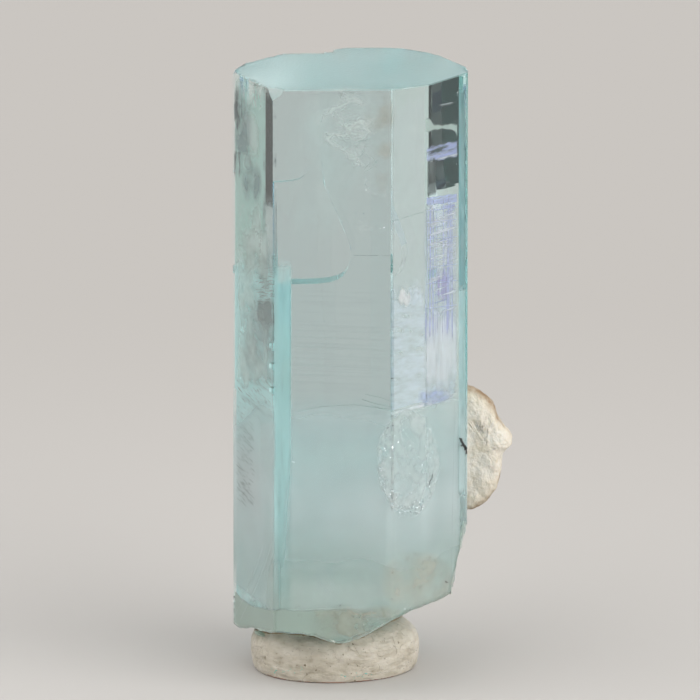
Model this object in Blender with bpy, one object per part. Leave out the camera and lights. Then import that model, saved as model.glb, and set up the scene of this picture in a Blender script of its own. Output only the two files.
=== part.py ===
"""Aquamarine crystal with a feldspar blade on its side, stood up on a pressed lump of display putty.

Metres, +Z up, -Y is the front. The origin is on the crystal's long axis, at the level of the surface
that the putty rests on. A crystal face is given by its heading and its distance from the long axis.
A heading is in degrees seen from above: 0 is the front, 90 is +X, 180 is the back.
"""

import math

import bmesh
import bpy
from mathutils import Matrix, Vector, noise

MM = 0.001

# Beryl prism. Its six main faces are about 60 degrees apart, and the narrow ones cut its edges off.
FRONT_HEADING = -9.4
FACES = {
    # name: (heading, distance from the axis)
    "front": (FRONT_HEADING, 6.85 * MM),
    "front_right_narrow": (28.0, 7.77 * MM),
    "front_right": (56.0, 7.53 * MM),
    "right_narrow": (88.0, 7.50 * MM),
    "back_right": (FRONT_HEADING + 120.0, 6.60 * MM),
    "back_right_corner": (131.65, 6.865 * MM),
    "back_right_narrow": (155.0, 7.304 * MM),
    "back": (FRONT_HEADING + 180.0, 7.30 * MM),
    "back_left": (FRONT_HEADING + 240.0, 7.25 * MM),
    "left_narrow": (253.0, 7.36 * MM),
    "left": (FRONT_HEADING + 300.0, 6.68 * MM),
}
FACE_LEAN = 0.16                  # degrees that every side face leans in towards the top
MID_HEIGHT = 19.5 * MM            # where the faces are at the distances above
TOP_HEIGHT = 38.95 * MM           # the flat end, on the axis
TOP_RISE = 0.0366                 # the flat end rises by this much per unit of +X

# A rib of parallel growth runs up the right-hand edge, with a face of its own to the front.
# Its other sides are inside the prism, and it stops just short of the flat end.
RIB_FACES = {
    "rib_front": (FRONT_HEADING, 1.95 * MM),
    "rib_right": (87.0, 7.47 * MM),
    "rib_back": (180.0, -1.60 * MM),
    "rib_root": (270.0, -5.60 * MM),
}
RIB_FOOT = 1.0 * MM
RIB_SHORT_OF_TOP = 0.08 * MM

# Two growth recesses step the left part of the back face down, from the flat end to mid height.
# Each has a floor, and an edge given as places on the back face: along it (+X is positive), and up.
# The edge closes outside the crystal, and the side wall runs straight out from it.
RECESSES = {
    # name: (distance from the axis to the floor, edge)
    "deep_recess": (
        5.70 * MM,
        (
            (-12.0 * MM, 24.60 * MM),
            (-8.20 * MM, 24.65 * MM),
            (-3.20 * MM, 24.75 * MM),
            (-1.00 * MM, 25.10 * MM),
            (-0.25 * MM, 26.00 * MM),
            (-0.15 * MM, 27.30 * MM),
            (-0.90 * MM, 29.20 * MM),
            (-1.70 * MM, 31.00 * MM),
            (-2.05 * MM, 34.00 * MM),
            (-2.05 * MM, 39.50 * MM),
            (-2.05 * MM, 44.00 * MM),
            (-12.0 * MM, 44.00 * MM),
        ),
    ),
    "shallow_recess": (
        5.38 * MM,
        (
            (-12.0 * MM, 31.20 * MM),
            (-8.20 * MM, 31.25 * MM),
            (-4.40 * MM, 31.40 * MM),
            (-3.05 * MM, 31.85 * MM),
            (-2.70 * MM, 33.00 * MM),
            (-2.60 * MM, 36.00 * MM),
            (-2.60 * MM, 40.00 * MM),
            (-2.60 * MM, 44.00 * MM),
            (-12.0 * MM, 44.00 * MM),
        ),
    ),
}
RECESS_EDGE_STEPS = 3             # smooth steps between two places on an edge
RECESS_SWEEP = 6.0 * MM
RECESS_WALL_HEADING = 176.5

# The broken lower end: a gentle slope with a lobe at the front, where it is pressed into the putty.
BREAK_LEVEL = 3.30 * MM
BREAK_RISE_RIGHT = 0.10
BREAK_RISE_FRONT = 0.19
BREAK_CORNER = 1.9 * MM           # to the right of this the slope is steeper
BREAK_RISE_CORNER = 0.27
LOBE_PLACE = (-0.6 * MM, -5.6 * MM)
LOBE_SIZE = (2.1 * MM, 3.4 * MM)
LOBE_DROP = 1.35 * MM
BREAK_RELIEF = 0.22 * MM
BREAK_GRAIN = 340.0               # bumps per metre of the coarsest relief
BREAK_REACH = 9.0 * MM
BREAK_STEPS = 40

# The steep break that takes the right-hand edge away near the bottom.
SIDE_BREAK_POINT = (7.05 * MM, -1.0 * MM, 8.6 * MM)
SIDE_BREAK_HEADING = 84.0
SIDE_BREAK_TILT = -14.0           # degrees: the break faces down a little
SIDE_BREAK_HOLLOW = 26.0 * MM     # radius of the shell-shaped hollow that it leaves
SIDE_BREAK_REACH = 6.5 * MM
SIDE_BREAK_STEPS = 18

# Small shell-shaped chips out of the corners of the flat end and the long edges.
CHIPS = (
    # corner, heading and tilt of the way out, depth, radius of the shell
    ((-4.77 * MM, -5.95 * MM, 38.77 * MM), -45.0, 32.0, 0.42 * MM, 1.5 * MM),
    ((-7.40 * MM, 0.85 * MM, 38.68 * MM), -88.0, 40.0, 0.22 * MM, 1.1 * MM),
    ((-6.10 * MM, -2.70 * MM, 38.72 * MM), -69.0, 45.0, 0.10 * MM, 1.3 * MM),
    ((-0.84 * MM, 7.46 * MM, 38.92 * MM), 215.0, 40.0, 0.36 * MM, 1.3 * MM),
    ((5.50 * MM, 4.10 * MM, 39.15 * MM), 125.0, 45.0, 0.20 * MM, 2.0 * MM),
    ((7.45 * MM, -1.30 * MM, 39.22 * MM), 98.0, 40.0, 0.28 * MM, 0.9 * MM),
    ((7.45 * MM, -3.15 * MM, 33.60 * MM), 45.0, 0.0, 0.16 * MM, 0.9 * MM),
)

# Feldspar blade. The edge is given as places (x, z) on its middle plane, from the root's top down.
BLADE_EDGE = (
    (5.60 * MM, 17.20 * MM),
    (7.20 * MM, 17.95 * MM),
    (8.30 * MM, 17.75 * MM),
    (9.25 * MM, 16.85 * MM),
    (9.65 * MM, 15.85 * MM),
    (10.35 * MM, 14.85 * MM),
    (10.44 * MM, 14.10 * MM),
    (9.95 * MM, 13.45 * MM),
    (9.80 * MM, 12.40 * MM),
    (9.45 * MM, 11.30 * MM),
    (8.75 * MM, 10.20 * MM),
    (7.60 * MM, 9.80 * MM),
    (5.60 * MM, 10.40 * MM),
)
BLADE_EDGE_STEPS = 4              # smooth steps between two places on the edge
BLADE_PLANE = 2.1 * MM            # y of the middle plane
BLADE_THICKNESS = 2.3 * MM
BLADE_EDGE_THICKNESS = 0.7 * MM
BLADE_RINGS = (1.0, 0.96, 0.88, 0.74, 0.52, 0.26)
BLADE_RELIEF = 0.13 * MM
BLADE_GRAIN = 520.0
BLADE_ROOT_GAP = 0.36 * MM        # to the prism's back right face

# Display putty, pressed into a flat cushion.
PUTTY_CENTRE = (-1.02 * MM, -0.05 * MM)
PUTTY_RADII = (5.44 * MM, 4.62 * MM)
PUTTY_BASE_SHARE = 0.955          # the base is this much of the widest outline
PUTTY_WIDEST = 1.65 * MM
PUTTY_HEIGHT = 3.65 * MM
PUTTY_PRESSED_GAP = 0.42 * MM     # between its pressed top and the crystal's broken end
PUTTY_AROUND = 52
PUTTY_SIDE_STEPS = 8
PUTTY_TOP_STEPS = 7
PUTTY_RELIEF = 0.05 * MM
PUTTY_GRAIN = 600.0


def clear_scene():
    for thing in list(bpy.data.objects):
        bpy.data.objects.remove(thing, do_unlink=True)


def make_material(name, colour, roughness, metallic=0.0, transmission=0.0, ior=1.5):
    material = bpy.data.materials.new(name)
    material.use_nodes = True
    shader = material.node_tree.nodes["Principled BSDF"]
    shader.inputs["Base Color"].default_value = (*colour, 1.0)
    shader.inputs["Roughness"].default_value = roughness
    shader.inputs["Metallic"].default_value = metallic
    shader.inputs["Transmission Weight"].default_value = transmission
    shader.inputs["IOR"].default_value = ior
    material.diffuse_color = (*colour, 1.0)
    return material


def make_object(name, bm, material=None):
    """Turns a closed bmesh into an object with its faces pointing out."""
    bmesh.ops.recalc_face_normals(bm, faces=bm.faces)
    mesh = bpy.data.meshes.new(name)
    bm.to_mesh(mesh)
    bm.free()
    thing = bpy.data.objects.new(name, mesh)
    bpy.context.scene.collection.objects.link(thing)
    if material:
        mesh.materials.append(material)
    return thing


def make_tool(name, bm):
    """An object that only shapes another: it is never rendered."""
    tool = make_object(name, bm)
    tool.hide_render = True
    tool.display_type = "WIRE"
    return tool


def apply_tool(target, tool, operation):
    change = target.modifiers.new(tool.name, "BOOLEAN")
    change.operation = operation
    change.solver = "EXACT"
    change.object = tool


def heading_vector(heading):
    turn = math.radians(heading)
    return Vector((math.sin(turn), -math.cos(turn), 0.0))


def cut_away(bm, point, normal):
    """Removes what lies beyond a plane and closes the cut with one flat face."""
    everything = bm.verts[:] + bm.edges[:] + bm.faces[:]
    cut = bmesh.ops.bisect_plane(
        bm, geom=everything, plane_co=point, plane_no=normal, dist=1e-7, clear_outer=True
    )
    rim = [item for item in cut["geom_cut"] if isinstance(item, bmesh.types.BMEdge)]
    if rim:
        bmesh.ops.edgenet_fill(bm, edges=rim)


def prism_from_faces(faces, foot, top):
    """A closed prism bounded by leaning side faces and a sloping flat end, whole at the foot."""
    bm = bmesh.new()
    size = 2.0 * top
    block = Matrix.Translation((0.0, 0.0, foot + 0.5 * size)) @ Matrix.Scale(size, 4)
    bmesh.ops.create_cube(bm, size=1.0, matrix=block)
    lean = math.radians(FACE_LEAN)
    for heading, distance in faces.values():
        outward = heading_vector(heading)
        point = outward * distance + Vector((0.0, 0.0, MID_HEIGHT))
        normal = outward * math.cos(lean) + Vector((0.0, 0.0, math.sin(lean)))
        cut_away(bm, point, normal)
    cut_away(bm, Vector((0.0, 0.0, top)), Vector((-TOP_RISE, 0.0, 1.0)).normalized())
    return bm


def rough_block(place, across, up, out, reach, steps, depth, relief):
    """A closed block that fills the space beyond a rough surface, on a square grid.

    across, up and out are its directions, and relief gives the surface's height along out.
    """
    bm = bmesh.new()
    rows = []
    for i in range(steps + 1):
        row = []
        for j in range(steps + 1):
            a = reach * (2.0 * i / steps - 1.0)
            b = reach * (2.0 * j / steps - 1.0)
            row.append(bm.verts.new(place + across * a + up * b + out * relief(a, b)))
        rows.append(row)
    for i in range(steps):
        for j in range(steps):
            bm.faces.new((rows[i][j], rows[i + 1][j], rows[i + 1][j + 1], rows[i][j + 1]))
    rim = [edge for edge in bm.edges if edge.is_boundary]
    wall = bmesh.ops.extrude_edge_only(bm, edges=rim)["geom"]
    for vertex in (item for item in wall if isinstance(item, bmesh.types.BMVert)):
        drop = depth - (vertex.co - place).dot(out)
        vertex.co += out * drop
    floor = [edge for edge in bm.edges if edge.is_boundary]
    bmesh.ops.edgenet_fill(bm, edges=floor)
    return bm


def bridge(bm, ring_a, ring_b):
    """Quads between two closed rings of the same count."""
    count = len(ring_a)
    for i in range(count):
        j = (i + 1) % count
        bm.faces.new((ring_a[i], ring_a[j], ring_b[j], ring_b[i]))


def break_height(x, y):
    """Height of the broken lower end at a place on the plan."""
    lobe_x = (x - LOBE_PLACE[0]) / LOBE_SIZE[0]
    lobe_y = (y - LOBE_PLACE[1]) / LOBE_SIZE[1]
    lobe = math.exp(-lobe_x * lobe_x - lobe_y * lobe_y)
    relief = noise.fractal(Vector((x, y, 0.0)) * BREAK_GRAIN, 0.9, 2.1, 3)
    slope = BREAK_RISE_RIGHT * x + BREAK_RISE_FRONT * max(-y, 0.0)
    slope += BREAK_RISE_CORNER * max(x - BREAK_CORNER, 0.0)
    return BREAK_LEVEL + slope - LOBE_DROP * lobe + BREAK_RELIEF * relief


def bottom_break():
    down = Vector((0.0, 0.0, -1.0))
    return rough_block(
        place=Vector((0.0, 0.0, 0.0)),
        across=Vector((1.0, 0.0, 0.0)),
        up=Vector((0.0, 1.0, 0.0)),
        out=down,
        reach=BREAK_REACH,
        steps=BREAK_STEPS,
        depth=4.0 * MM,
        relief=lambda a, b: -break_height(a, b),
    )


def side_break():
    tilt = math.radians(SIDE_BREAK_TILT)
    level = heading_vector(SIDE_BREAK_HEADING)
    out = level * math.cos(tilt) + Vector((0.0, 0.0, math.sin(tilt)))
    across = Vector((-level.y, level.x, 0.0))
    up = across.cross(out).normalized()

    def relief(a, b):
        hollow = (a * a + b * b) / (2.0 * SIDE_BREAK_HOLLOW)
        grain = noise.fractal(Vector((a, b, 5.0 * MM)) * BREAK_GRAIN * 1.6, 0.8, 2.1, 3)
        return hollow + BREAK_RELIEF * grain

    return rough_block(
        place=Vector(SIDE_BREAK_POINT),
        across=across,
        up=up,
        out=out,
        reach=SIDE_BREAK_REACH,
        steps=SIDE_BREAK_STEPS,
        depth=8.0 * MM,
        relief=relief,
    )


def smooth_loop(places, steps):
    """Catmull-Rom points through a closed loop of places."""
    count = len(places)
    points = []
    for i in range(count):
        p0, p1, p2, p3 = (Vector(places[(i + k - 1) % count]) for k in range(4))
        for step in range(steps):
            t = step / steps
            bend = (2 * p0 - 5 * p1 + 4 * p2 - p3) * t * t + (3 * p1 - p0 - 3 * p2 + p3) * t ** 3
            points.append(p1 + 0.5 * ((p2 - p0) * t + bend))
    return points


def growth_recess(floor, edge):
    """A recess's space: its smooth outline on the floor, swept out through the back face."""
    outward = heading_vector(FACES["back"][0])
    along = Vector((outward.y, -outward.x, 0.0))
    origin = outward * floor
    bm = bmesh.new()
    outline = []
    for s, z in smooth_loop(edge, RECESS_EDGE_STEPS):
        outline.append(bm.verts.new(origin + along * s + Vector((0.0, 0.0, z))))
    swept = bmesh.ops.extrude_face_region(bm, geom=[bm.faces.new(outline)])["geom"]
    for vertex in (item for item in swept if isinstance(item, bmesh.types.BMVert)):
        vertex.co += heading_vector(RECESS_WALL_HEADING) * RECESS_SWEEP
    return bm


def chip_balls():
    """All chips in one tool: the balls are clear of each other."""
    bm = bmesh.new()
    for corner, heading, tilt, depth, radius in CHIPS:
        rise = math.radians(tilt)
        out = heading_vector(heading) * math.cos(rise) + Vector((0.0, 0.0, math.sin(rise)))
        centre = Vector(corner) + out * (radius - depth)
        bmesh.ops.create_icosphere(
            bm, subdivisions=3, radius=radius, matrix=Matrix.Translation(centre)
        )
    return bm


def build_crystal():
    beryl = make_material("beryl", (0.62, 0.80, 0.80), 0.03, transmission=1.0, ior=1.577)
    prism = prism_from_faces(FACES, 0.0, TOP_HEIGHT)
    rib = prism_from_faces(RIB_FACES, RIB_FOOT, TOP_HEIGHT - RIB_SHORT_OF_TOP)
    crystal = make_object("aquamarine_prism", prism, beryl)
    apply_tool(crystal, make_tool("rib", rib), "UNION")
    for name, (floor, edge) in RECESSES.items():
        apply_tool(crystal, make_tool(name, growth_recess(floor, edge)), "DIFFERENCE")
    apply_tool(crystal, make_tool("bottom_break", bottom_break()), "DIFFERENCE")
    apply_tool(crystal, make_tool("side_break", side_break()), "DIFFERENCE")
    apply_tool(crystal, make_tool("chips", chip_balls()), "DIFFERENCE")


def build_feldspar():
    feldspar = make_material("feldspar", (0.66, 0.61, 0.53), 0.55)
    edge = smooth_loop(BLADE_EDGE, BLADE_EDGE_STEPS)
    centre = sum(edge, Vector((0.0, 0.0))) / len(edge)
    bm = bmesh.new()
    sides = []
    for side in (-1.0, 1.0):
        rings = []
        for share in BLADE_RINGS:
            swell = math.sqrt(1.0 - share ** 3)
            half = 0.5 * (BLADE_EDGE_THICKNESS + (BLADE_THICKNESS - BLADE_EDGE_THICKNESS) * swell)
            ring = []
            for point in edge:
                x, z = centre + (point - centre) * share
                grain = noise.fractal(Vector((x, side * MM, z)) * BLADE_GRAIN, 0.8, 2.1, 3)
                y = BLADE_PLANE + side * (half + BLADE_RELIEF * grain)
                ring.append(bm.verts.new((x, y, z)))
            rings.append(ring)
        sides.append(rings)
        middle = bm.verts.new((centre.x, BLADE_PLANE + side * 0.5 * BLADE_THICKNESS, centre.y))
        for outer, inner in zip(rings, rings[1:]):
            bridge(bm, outer, inner)
        for a, b in zip(rings[-1], rings[-1][1:] + rings[-1][:1]):
            bm.faces.new((a, b, middle))
    bridge(bm, sides[0][0], sides[1][0])
    bmesh.ops.recalc_face_normals(bm, faces=bm.faces)
    heading, distance = FACES["back_right"]
    root = heading_vector(heading)
    cut_away(bm, root * (distance + BLADE_ROOT_GAP), -root)
    make_object("feldspar_blade", bm, feldspar)


def putty_outline(turn, share):
    """A place on the putty's outline, scaled by share about its centre."""
    wave = 1.0 + 0.018 * math.sin(2 * turn + 0.6) + 0.012 * math.sin(3 * turn + 2.0)
    x = PUTTY_CENTRE[0] + PUTTY_RADII[0] * share * wave * math.cos(turn)
    y = PUTTY_CENTRE[1] + PUTTY_RADII[1] * share * wave * math.sin(turn)
    return x, y


def putty_top(x, y, share):
    """Height of the top: a soft cushion, pressed down by the crystal's broken end."""
    cushion = PUTTY_WIDEST + (PUTTY_HEIGHT - PUTTY_WIDEST) * math.sqrt(max(0.0, 1.0 - share ** 6))
    return min(cushion, break_height(x, y) - PUTTY_PRESSED_GAP)


def build_putty():
    putty = make_material("putty", (0.55, 0.51, 0.43), 0.45)
    bm = bmesh.new()
    turns = [2.0 * math.pi * i / PUTTY_AROUND for i in range(PUTTY_AROUND)]
    rings = []
    for step in range(PUTTY_SIDE_STEPS):
        rise = step / (PUTTY_SIDE_STEPS - 1)
        share = PUTTY_BASE_SHARE + (1.0 - PUTTY_BASE_SHARE) * math.sqrt(1.0 - (1.0 - rise) ** 2)
        ring = []
        for turn in turns:
            x, y = putty_outline(turn, share)
            ring.append(bm.verts.new((x, y, PUTTY_WIDEST * rise)))
        rings.append(ring)
    for step in range(1, PUTTY_TOP_STEPS + 1):
        share = math.cos(0.5 * math.pi * step / (PUTTY_TOP_STEPS + 1)) ** 0.6
        ring = []
        for turn in turns:
            x, y = putty_outline(turn, share)
            grain = noise.fractal(Vector((x, y, 0.0)) * PUTTY_GRAIN, 0.8, 2.1, 2)
            z = putty_top(x, y, share) + PUTTY_RELIEF * (grain - 1.0)
            ring.append(bm.verts.new((x, y, z)))
        rings.append(ring)
    for lower, upper in zip(rings, rings[1:]):
        bridge(bm, lower, upper)
    bm.faces.new(rings[0])
    bm.faces.new(rings[-1])
    make_object("display_putty", bm, putty)


clear_scene()
build_crystal()
build_feldspar()
build_putty()
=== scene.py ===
"""Looks of an aquamarine crystal that stands on display putty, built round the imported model."""

import math
import random

import bmesh
import bpy
from mathutils import Matrix, Vector, noise
from mathutils.bvhtree import BVHTree


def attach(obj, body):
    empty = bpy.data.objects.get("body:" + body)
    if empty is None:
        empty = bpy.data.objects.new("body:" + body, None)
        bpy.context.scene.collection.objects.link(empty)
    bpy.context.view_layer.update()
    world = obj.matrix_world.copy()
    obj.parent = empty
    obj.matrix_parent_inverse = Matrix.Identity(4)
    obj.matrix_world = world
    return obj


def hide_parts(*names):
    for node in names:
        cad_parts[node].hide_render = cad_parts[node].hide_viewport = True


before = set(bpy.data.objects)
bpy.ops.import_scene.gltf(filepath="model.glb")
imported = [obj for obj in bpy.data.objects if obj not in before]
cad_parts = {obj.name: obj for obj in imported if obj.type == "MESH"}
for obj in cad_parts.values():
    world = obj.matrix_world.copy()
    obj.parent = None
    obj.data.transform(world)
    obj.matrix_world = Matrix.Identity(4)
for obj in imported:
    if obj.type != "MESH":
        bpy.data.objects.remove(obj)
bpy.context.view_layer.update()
scene = bpy.context.scene
MM = 0.001


# --- Camera and stage ---------------------------------------------------------------------------
# A long lens looks a little down on the crystal. It stands on a wide pale tabletop in soft, even
# light, with a large soft source at the right and a weaker one at the left.

CAMERA_DISTANCE = 400 * MM
CAMERA_PITCH = math.radians(13.2)
CAMERA_AIM = Vector((0, 0, 20.8 * MM))
FIELD_WIDTH = 44.5 * MM

camera_data = bpy.data.cameras.new("specimen_camera")
camera_data.sensor_width = 36
camera_data.lens = camera_data.sensor_width * CAMERA_DISTANCE / FIELD_WIDTH
camera_data.clip_start = 0.01
camera_data.clip_end = 20
camera = bpy.data.objects.new("specimen_camera", camera_data)
scene.collection.objects.link(camera)
towards_camera = Vector((0, -math.cos(CAMERA_PITCH), math.sin(CAMERA_PITCH)))
camera.location = CAMERA_AIM + towards_camera * CAMERA_DISTANCE
camera.rotation_euler = (math.pi / 2 - CAMERA_PITCH, 0, 0)
scene.camera = camera
scene.view_settings.view_transform = "Standard"
scene.cycles.max_bounces = 28
scene.cycles.glossy_bounces = 16
scene.cycles.transmission_bounces = 24
scene.cycles.transparent_max_bounces = 32


def new_material(name, colour, roughness):
    """A material, and the one shader in it."""
    material = bpy.data.materials.new(name)
    material.use_nodes = True
    shader = material.node_tree.nodes["Principled BSDF"]
    shader.inputs["Base Color"].default_value = (*colour, 1)
    shader.inputs["Roughness"].default_value = roughness
    return material, shader


def feed(tree, socket, value):
    """Sets a socket to a number, or links it to another node's output."""
    if isinstance(value, (int, float)):
        socket.default_value = value
    else:
        tree.links.new(value, socket)


def maths(tree, operation, *values):
    node = tree.nodes.new("ShaderNodeMath")
    node.operation = operation
    for socket, value in zip(node.inputs, values):
        feed(tree, socket, value)
    return node.outputs["Value"]


def soft_ramp(tree, value, start, end, low=0, high=1, shape="SMOOTHSTEP"):
    """Goes from low to high while the value goes from start to end."""
    node = tree.nodes.new("ShaderNodeMapRange")
    node.interpolation_type = shape
    feed(tree, node.inputs["Value"], value)
    feed(tree, node.inputs["From Min"], start)
    feed(tree, node.inputs["From Max"], end)
    feed(tree, node.inputs["To Min"], low)
    feed(tree, node.inputs["To Max"], high)
    return node.outputs["Result"]


def plain_sheet(name, corners, colour, roughness, gloss=0.2):
    mesh = bpy.data.meshes.new(name)
    mesh.from_pydata(corners, [], [tuple(range(len(corners)))])
    material, shader = new_material(name, colour, roughness)
    shader.inputs["Specular IOR Level"].default_value = gloss
    mesh.materials.append(material)
    sheet = bpy.data.objects.new(name, mesh)
    scene.collection.objects.link(sheet)
    return sheet


def hide_unless_through_crystal(sheet):
    """Leaves a sheet to be met only by rays that have passed through the crystal."""
    sheet.visible_camera = False
    sheet.visible_diffuse = False
    sheet.visible_glossy = False
    sheet.visible_shadow = False


TABLE = 4.0
tabletop = plain_sheet(
    "tabletop",
    [(-TABLE, -TABLE, 0), (TABLE, -TABLE, 0), (TABLE, TABLE, 0), (-TABLE, TABLE, 0)],
    (0.484, 0.468, 0.449),
    0.6,
)

# The tabletop's colour darkens a little towards the back: painted shade for the dimmer far table.
tree = tabletop.data.materials[0].node_tree
place = tree.nodes.new("ShaderNodeTexCoord")
parts = tree.nodes.new("ShaderNodeSeparateXYZ")
tree.links.new(place.outputs["Object"], parts.inputs["Vector"])
depth = soft_ramp(tree, parts.outputs["Y"], -20 * MM, 110 * MM)
far_shade = tree.nodes.new("ShaderNodeMix")
far_shade.data_type = "RGBA"
far_shade.inputs["A"].default_value = (0.488, 0.472, 0.453, 1)
far_shade.inputs["B"].default_value = (0.414, 0.398, 0.378, 1)
tree.links.new(depth, far_shade.inputs["Factor"])
tree.links.new(far_shade.outputs["Result"], tree.nodes["Principled BSDF"].inputs["Base Color"])

# Two narrow black flags stand behind the crystal, out of the camera's own sight. They draw the
# dark edges that make clear faces read as glass.
FLAG_COLOUR = (0.012, 0.014, 0.016)
FLAG_HEIGHT = 60 * MM


def flag(name, heading, distance, width):
    turn = math.radians(heading)
    out = Vector((math.sin(turn), math.cos(turn), 0))
    side = Vector((out.y, -out.x, 0)) * width * 0.5
    middle = out * distance
    up = Vector((0, 0, FLAG_HEIGHT))
    corners = [middle - side, middle + side, middle + side + up, middle - side + up]
    hide_unless_through_crystal(plain_sheet(name, corners, FLAG_COLOUR, 0.9, 0))


flag("flag_left", -54, 148 * MM, 40 * MM)
flag("flag_right", 39, 143 * MM, 31 * MM)

# A slightly darker card lies flat behind the crystal, also out of the camera's own sight. The front
# face looks out onto it.
CARD_HALF_WIDTH = 22 * MM         # at its near end; its far end is twice as wide
CARD_NEAR = 62 * MM
CARD_FAR = 260 * MM
CARD_LIFT = 0.2 * MM
card = plain_sheet(
    "card_behind",
    [
        (-CARD_HALF_WIDTH, CARD_NEAR, CARD_LIFT),
        (CARD_HALF_WIDTH, CARD_NEAR, CARD_LIFT),
        (CARD_HALF_WIDTH * 2, CARD_FAR, CARD_LIFT),
        (-CARD_HALF_WIDTH * 2, CARD_FAR, CARD_LIFT),
    ],
    (0.352, 0.334, 0.327),
    0.8,
)
hide_unless_through_crystal(card)

world = bpy.data.worlds.new("soft_room")
scene.world = world
world.use_nodes = True
room = world.node_tree
direction = room.nodes.new("ShaderNodeTexCoord")


def soft_light(towards, outer, inner, low, high):
    """Brightness that rises from low to high inside a cone towards a direction."""
    aim = room.nodes.new("ShaderNodeVectorMath")
    aim.operation = "DOT_PRODUCT"
    aim.inputs[1].default_value = Vector(towards).normalized()
    room.links.new(direction.outputs["Generated"], aim.inputs[0])
    rim = math.cos(math.radians(outer))
    core = math.cos(math.radians(inner))
    return soft_ramp(room, aim.outputs["Value"], rim, core, low, high)


ceiling = soft_light((0, 0, 1), 80, 45, 0.56, 0.88)
key_side = soft_light((0.72, -0.50, 0.50), 38, 14, 0, 3.2)
fill_side = soft_light((-0.70, -0.38, 0.60), 48, 16, 0, 1.2)
background = room.nodes["Background"]
background.inputs["Color"].default_value = (1.0, 0.988, 0.978, 1)
strength = maths(room, "ADD", ceiling, maths(room, "ADD", key_side, fill_side))
room.links.new(strength, background.inputs["Strength"])


# --- Aquamarine prism ---------------------------------------------------------------------------
# One grown crystal of pale beryl. Its side faces and its flat end grew glassy and flat. Its foot,
# its right-hand side low down and its corners are broken, with shell-shaped satin surfaces.

prism_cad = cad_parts["aquamarine_prism"]
BACK_HEADING = 170.6
SMALLEST_FLAT = 0.9 * MM * MM     # a smaller facet belongs to a break
EDGE_STEP = 0.28 * MM
EDGE_ROUND = 0.014 * MM
SHARP_EDGE = math.radians(45)     # a blunter edge is neither rounded nor nibbled
WALL_SLANT = 0.13                 # the most that a recess's wall leans out of square
RECESS_START = 5.2 * MM           # the recesses' walls lie farther back than this
BREAK_CUTS = 2
BROKEN_SHARES = (1.0, 0.0, 0.35)  # on a break, on a grown face and on a worn edge
SATIN_END = 0.85                  # the flat end is etched to a satin finish

back_turn = math.radians(BACK_HEADING)
BACK = Vector((math.sin(back_turn), -math.cos(back_turn), 0))


def grown_planes(bm):
    """The planes of the large, grown faces, as (normal, distance)."""
    large = [face for face in bm.faces if face.calc_area() > SMALLEST_FLAT]
    return [(face.normal.copy(), face.normal.dot(face.verts[0].co)) for face in large]


def is_grown(face, planes):
    """Grown faces lie in the large planes. The recesses' narrow walls are grown as well."""
    middle = face.calc_center_median()
    wall = abs(face.normal.dot(BACK)) < WALL_SLANT and middle.dot(BACK) > RECESS_START
    return wall or any(
        face.normal.dot(normal) > 0.9998 and abs(normal.dot(middle) - distance) < 0.004 * MM
        for normal, distance in planes
    )


def edge_wear(place):
    """How far the wear of a sharp edge reaches into each face beside it. The chipped corner at
    the upper left is battered most."""
    fine = noise.fractal(place * 2600, 0.8, 2.1, 2)
    nick = noise.noise(place * 520 + Vector((7, 3, 1)))
    wear = 0.022 * max(fine, 0) + 0.45 * max(nick - 0.44, 0) * (0.7 + 0.5 * fine)
    high = max(0, min(1, (place.z / MM - 37.5) / 1.2))
    left = max(0, min(1, (-place.x / MM - 3.5) / 1.5))
    wear += high * left * 0.16 * max(fine + 0.25, 0)
    return wear * MM


def wear_edges(bm, grown):
    """Rounds the sharpest edges between grown faces and nibbles them, within the faces' planes."""
    sharp = [
        edge
        for edge in bm.edges
        if len(edge.link_faces) == 2
        and all(face[grown] == 1 for face in edge.link_faces)
        and edge.calc_face_angle() > SHARP_EDGE
    ]
    chain = []
    for edge in sharp:
        count = int(edge.calc_length() / EDGE_STEP)
        rest = edge
        chain.append(edge)
        for left in range(count, 0, -1):
            made, _ = bmesh.utils.edge_split(rest, rest.verts[0], 1 / (left + 1))
            chain.append(made)
    bevelled = bmesh.ops.bevel(
        bm, geom=chain, offset=EDGE_ROUND, segments=2, profile=0.5, affect="EDGES", clamp_overlap=True
    )
    for face in bevelled["faces"]:
        face[grown] = 2
    rims = {}
    for vert in bm.verts:
        flats = [face for face in vert.link_faces if face[grown] == 1]
        worn = [face for face in vert.link_faces if face[grown] == 2]
        broken = [face for face in vert.link_faces if face[grown] == 0]
        if len(flats) == 1 and worn and not broken:
            corner = next(loop for loop in flats[0].loops if loop.vert == vert)
            tangent = corner.link_loop_next.vert.co - corner.link_loop_prev.vert.co
            inward = flats[0].normal.cross(tangent).normalized()
            rims[vert] = inward * edge_wear(vert.co)
    for vert, move in rims.items():
        vert.co += move
    for vert in bm.verts:
        if vert.link_faces and all(face[grown] == 2 for face in vert.link_faces):
            beside = [edge.other_vert(vert) for edge in vert.link_edges]
            beside = [other for other in beside if other in rims]
            if len(beside) >= 2:
                middle = sum((other.co for other in beside), Vector()) / len(beside)
                width = (beside[0].co - beside[1].co).length
                vert.co = middle - vert.normal * (0.10 * width - 0.003 * MM)


def break_relief(place):
    """Shell-shaped ripples and grit on a broken surface."""
    broad = noise.noise(place * 620)
    ripple = math.sin(place.x * 5200 + place.y * 2100 + place.z * 3300 + 5 * broad)
    grit = noise.fractal(place * 2400, 0.7, 2.2, 3)
    return (0.075 * broad + 0.014 * ripple + 0.035 * grit) * MM


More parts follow.
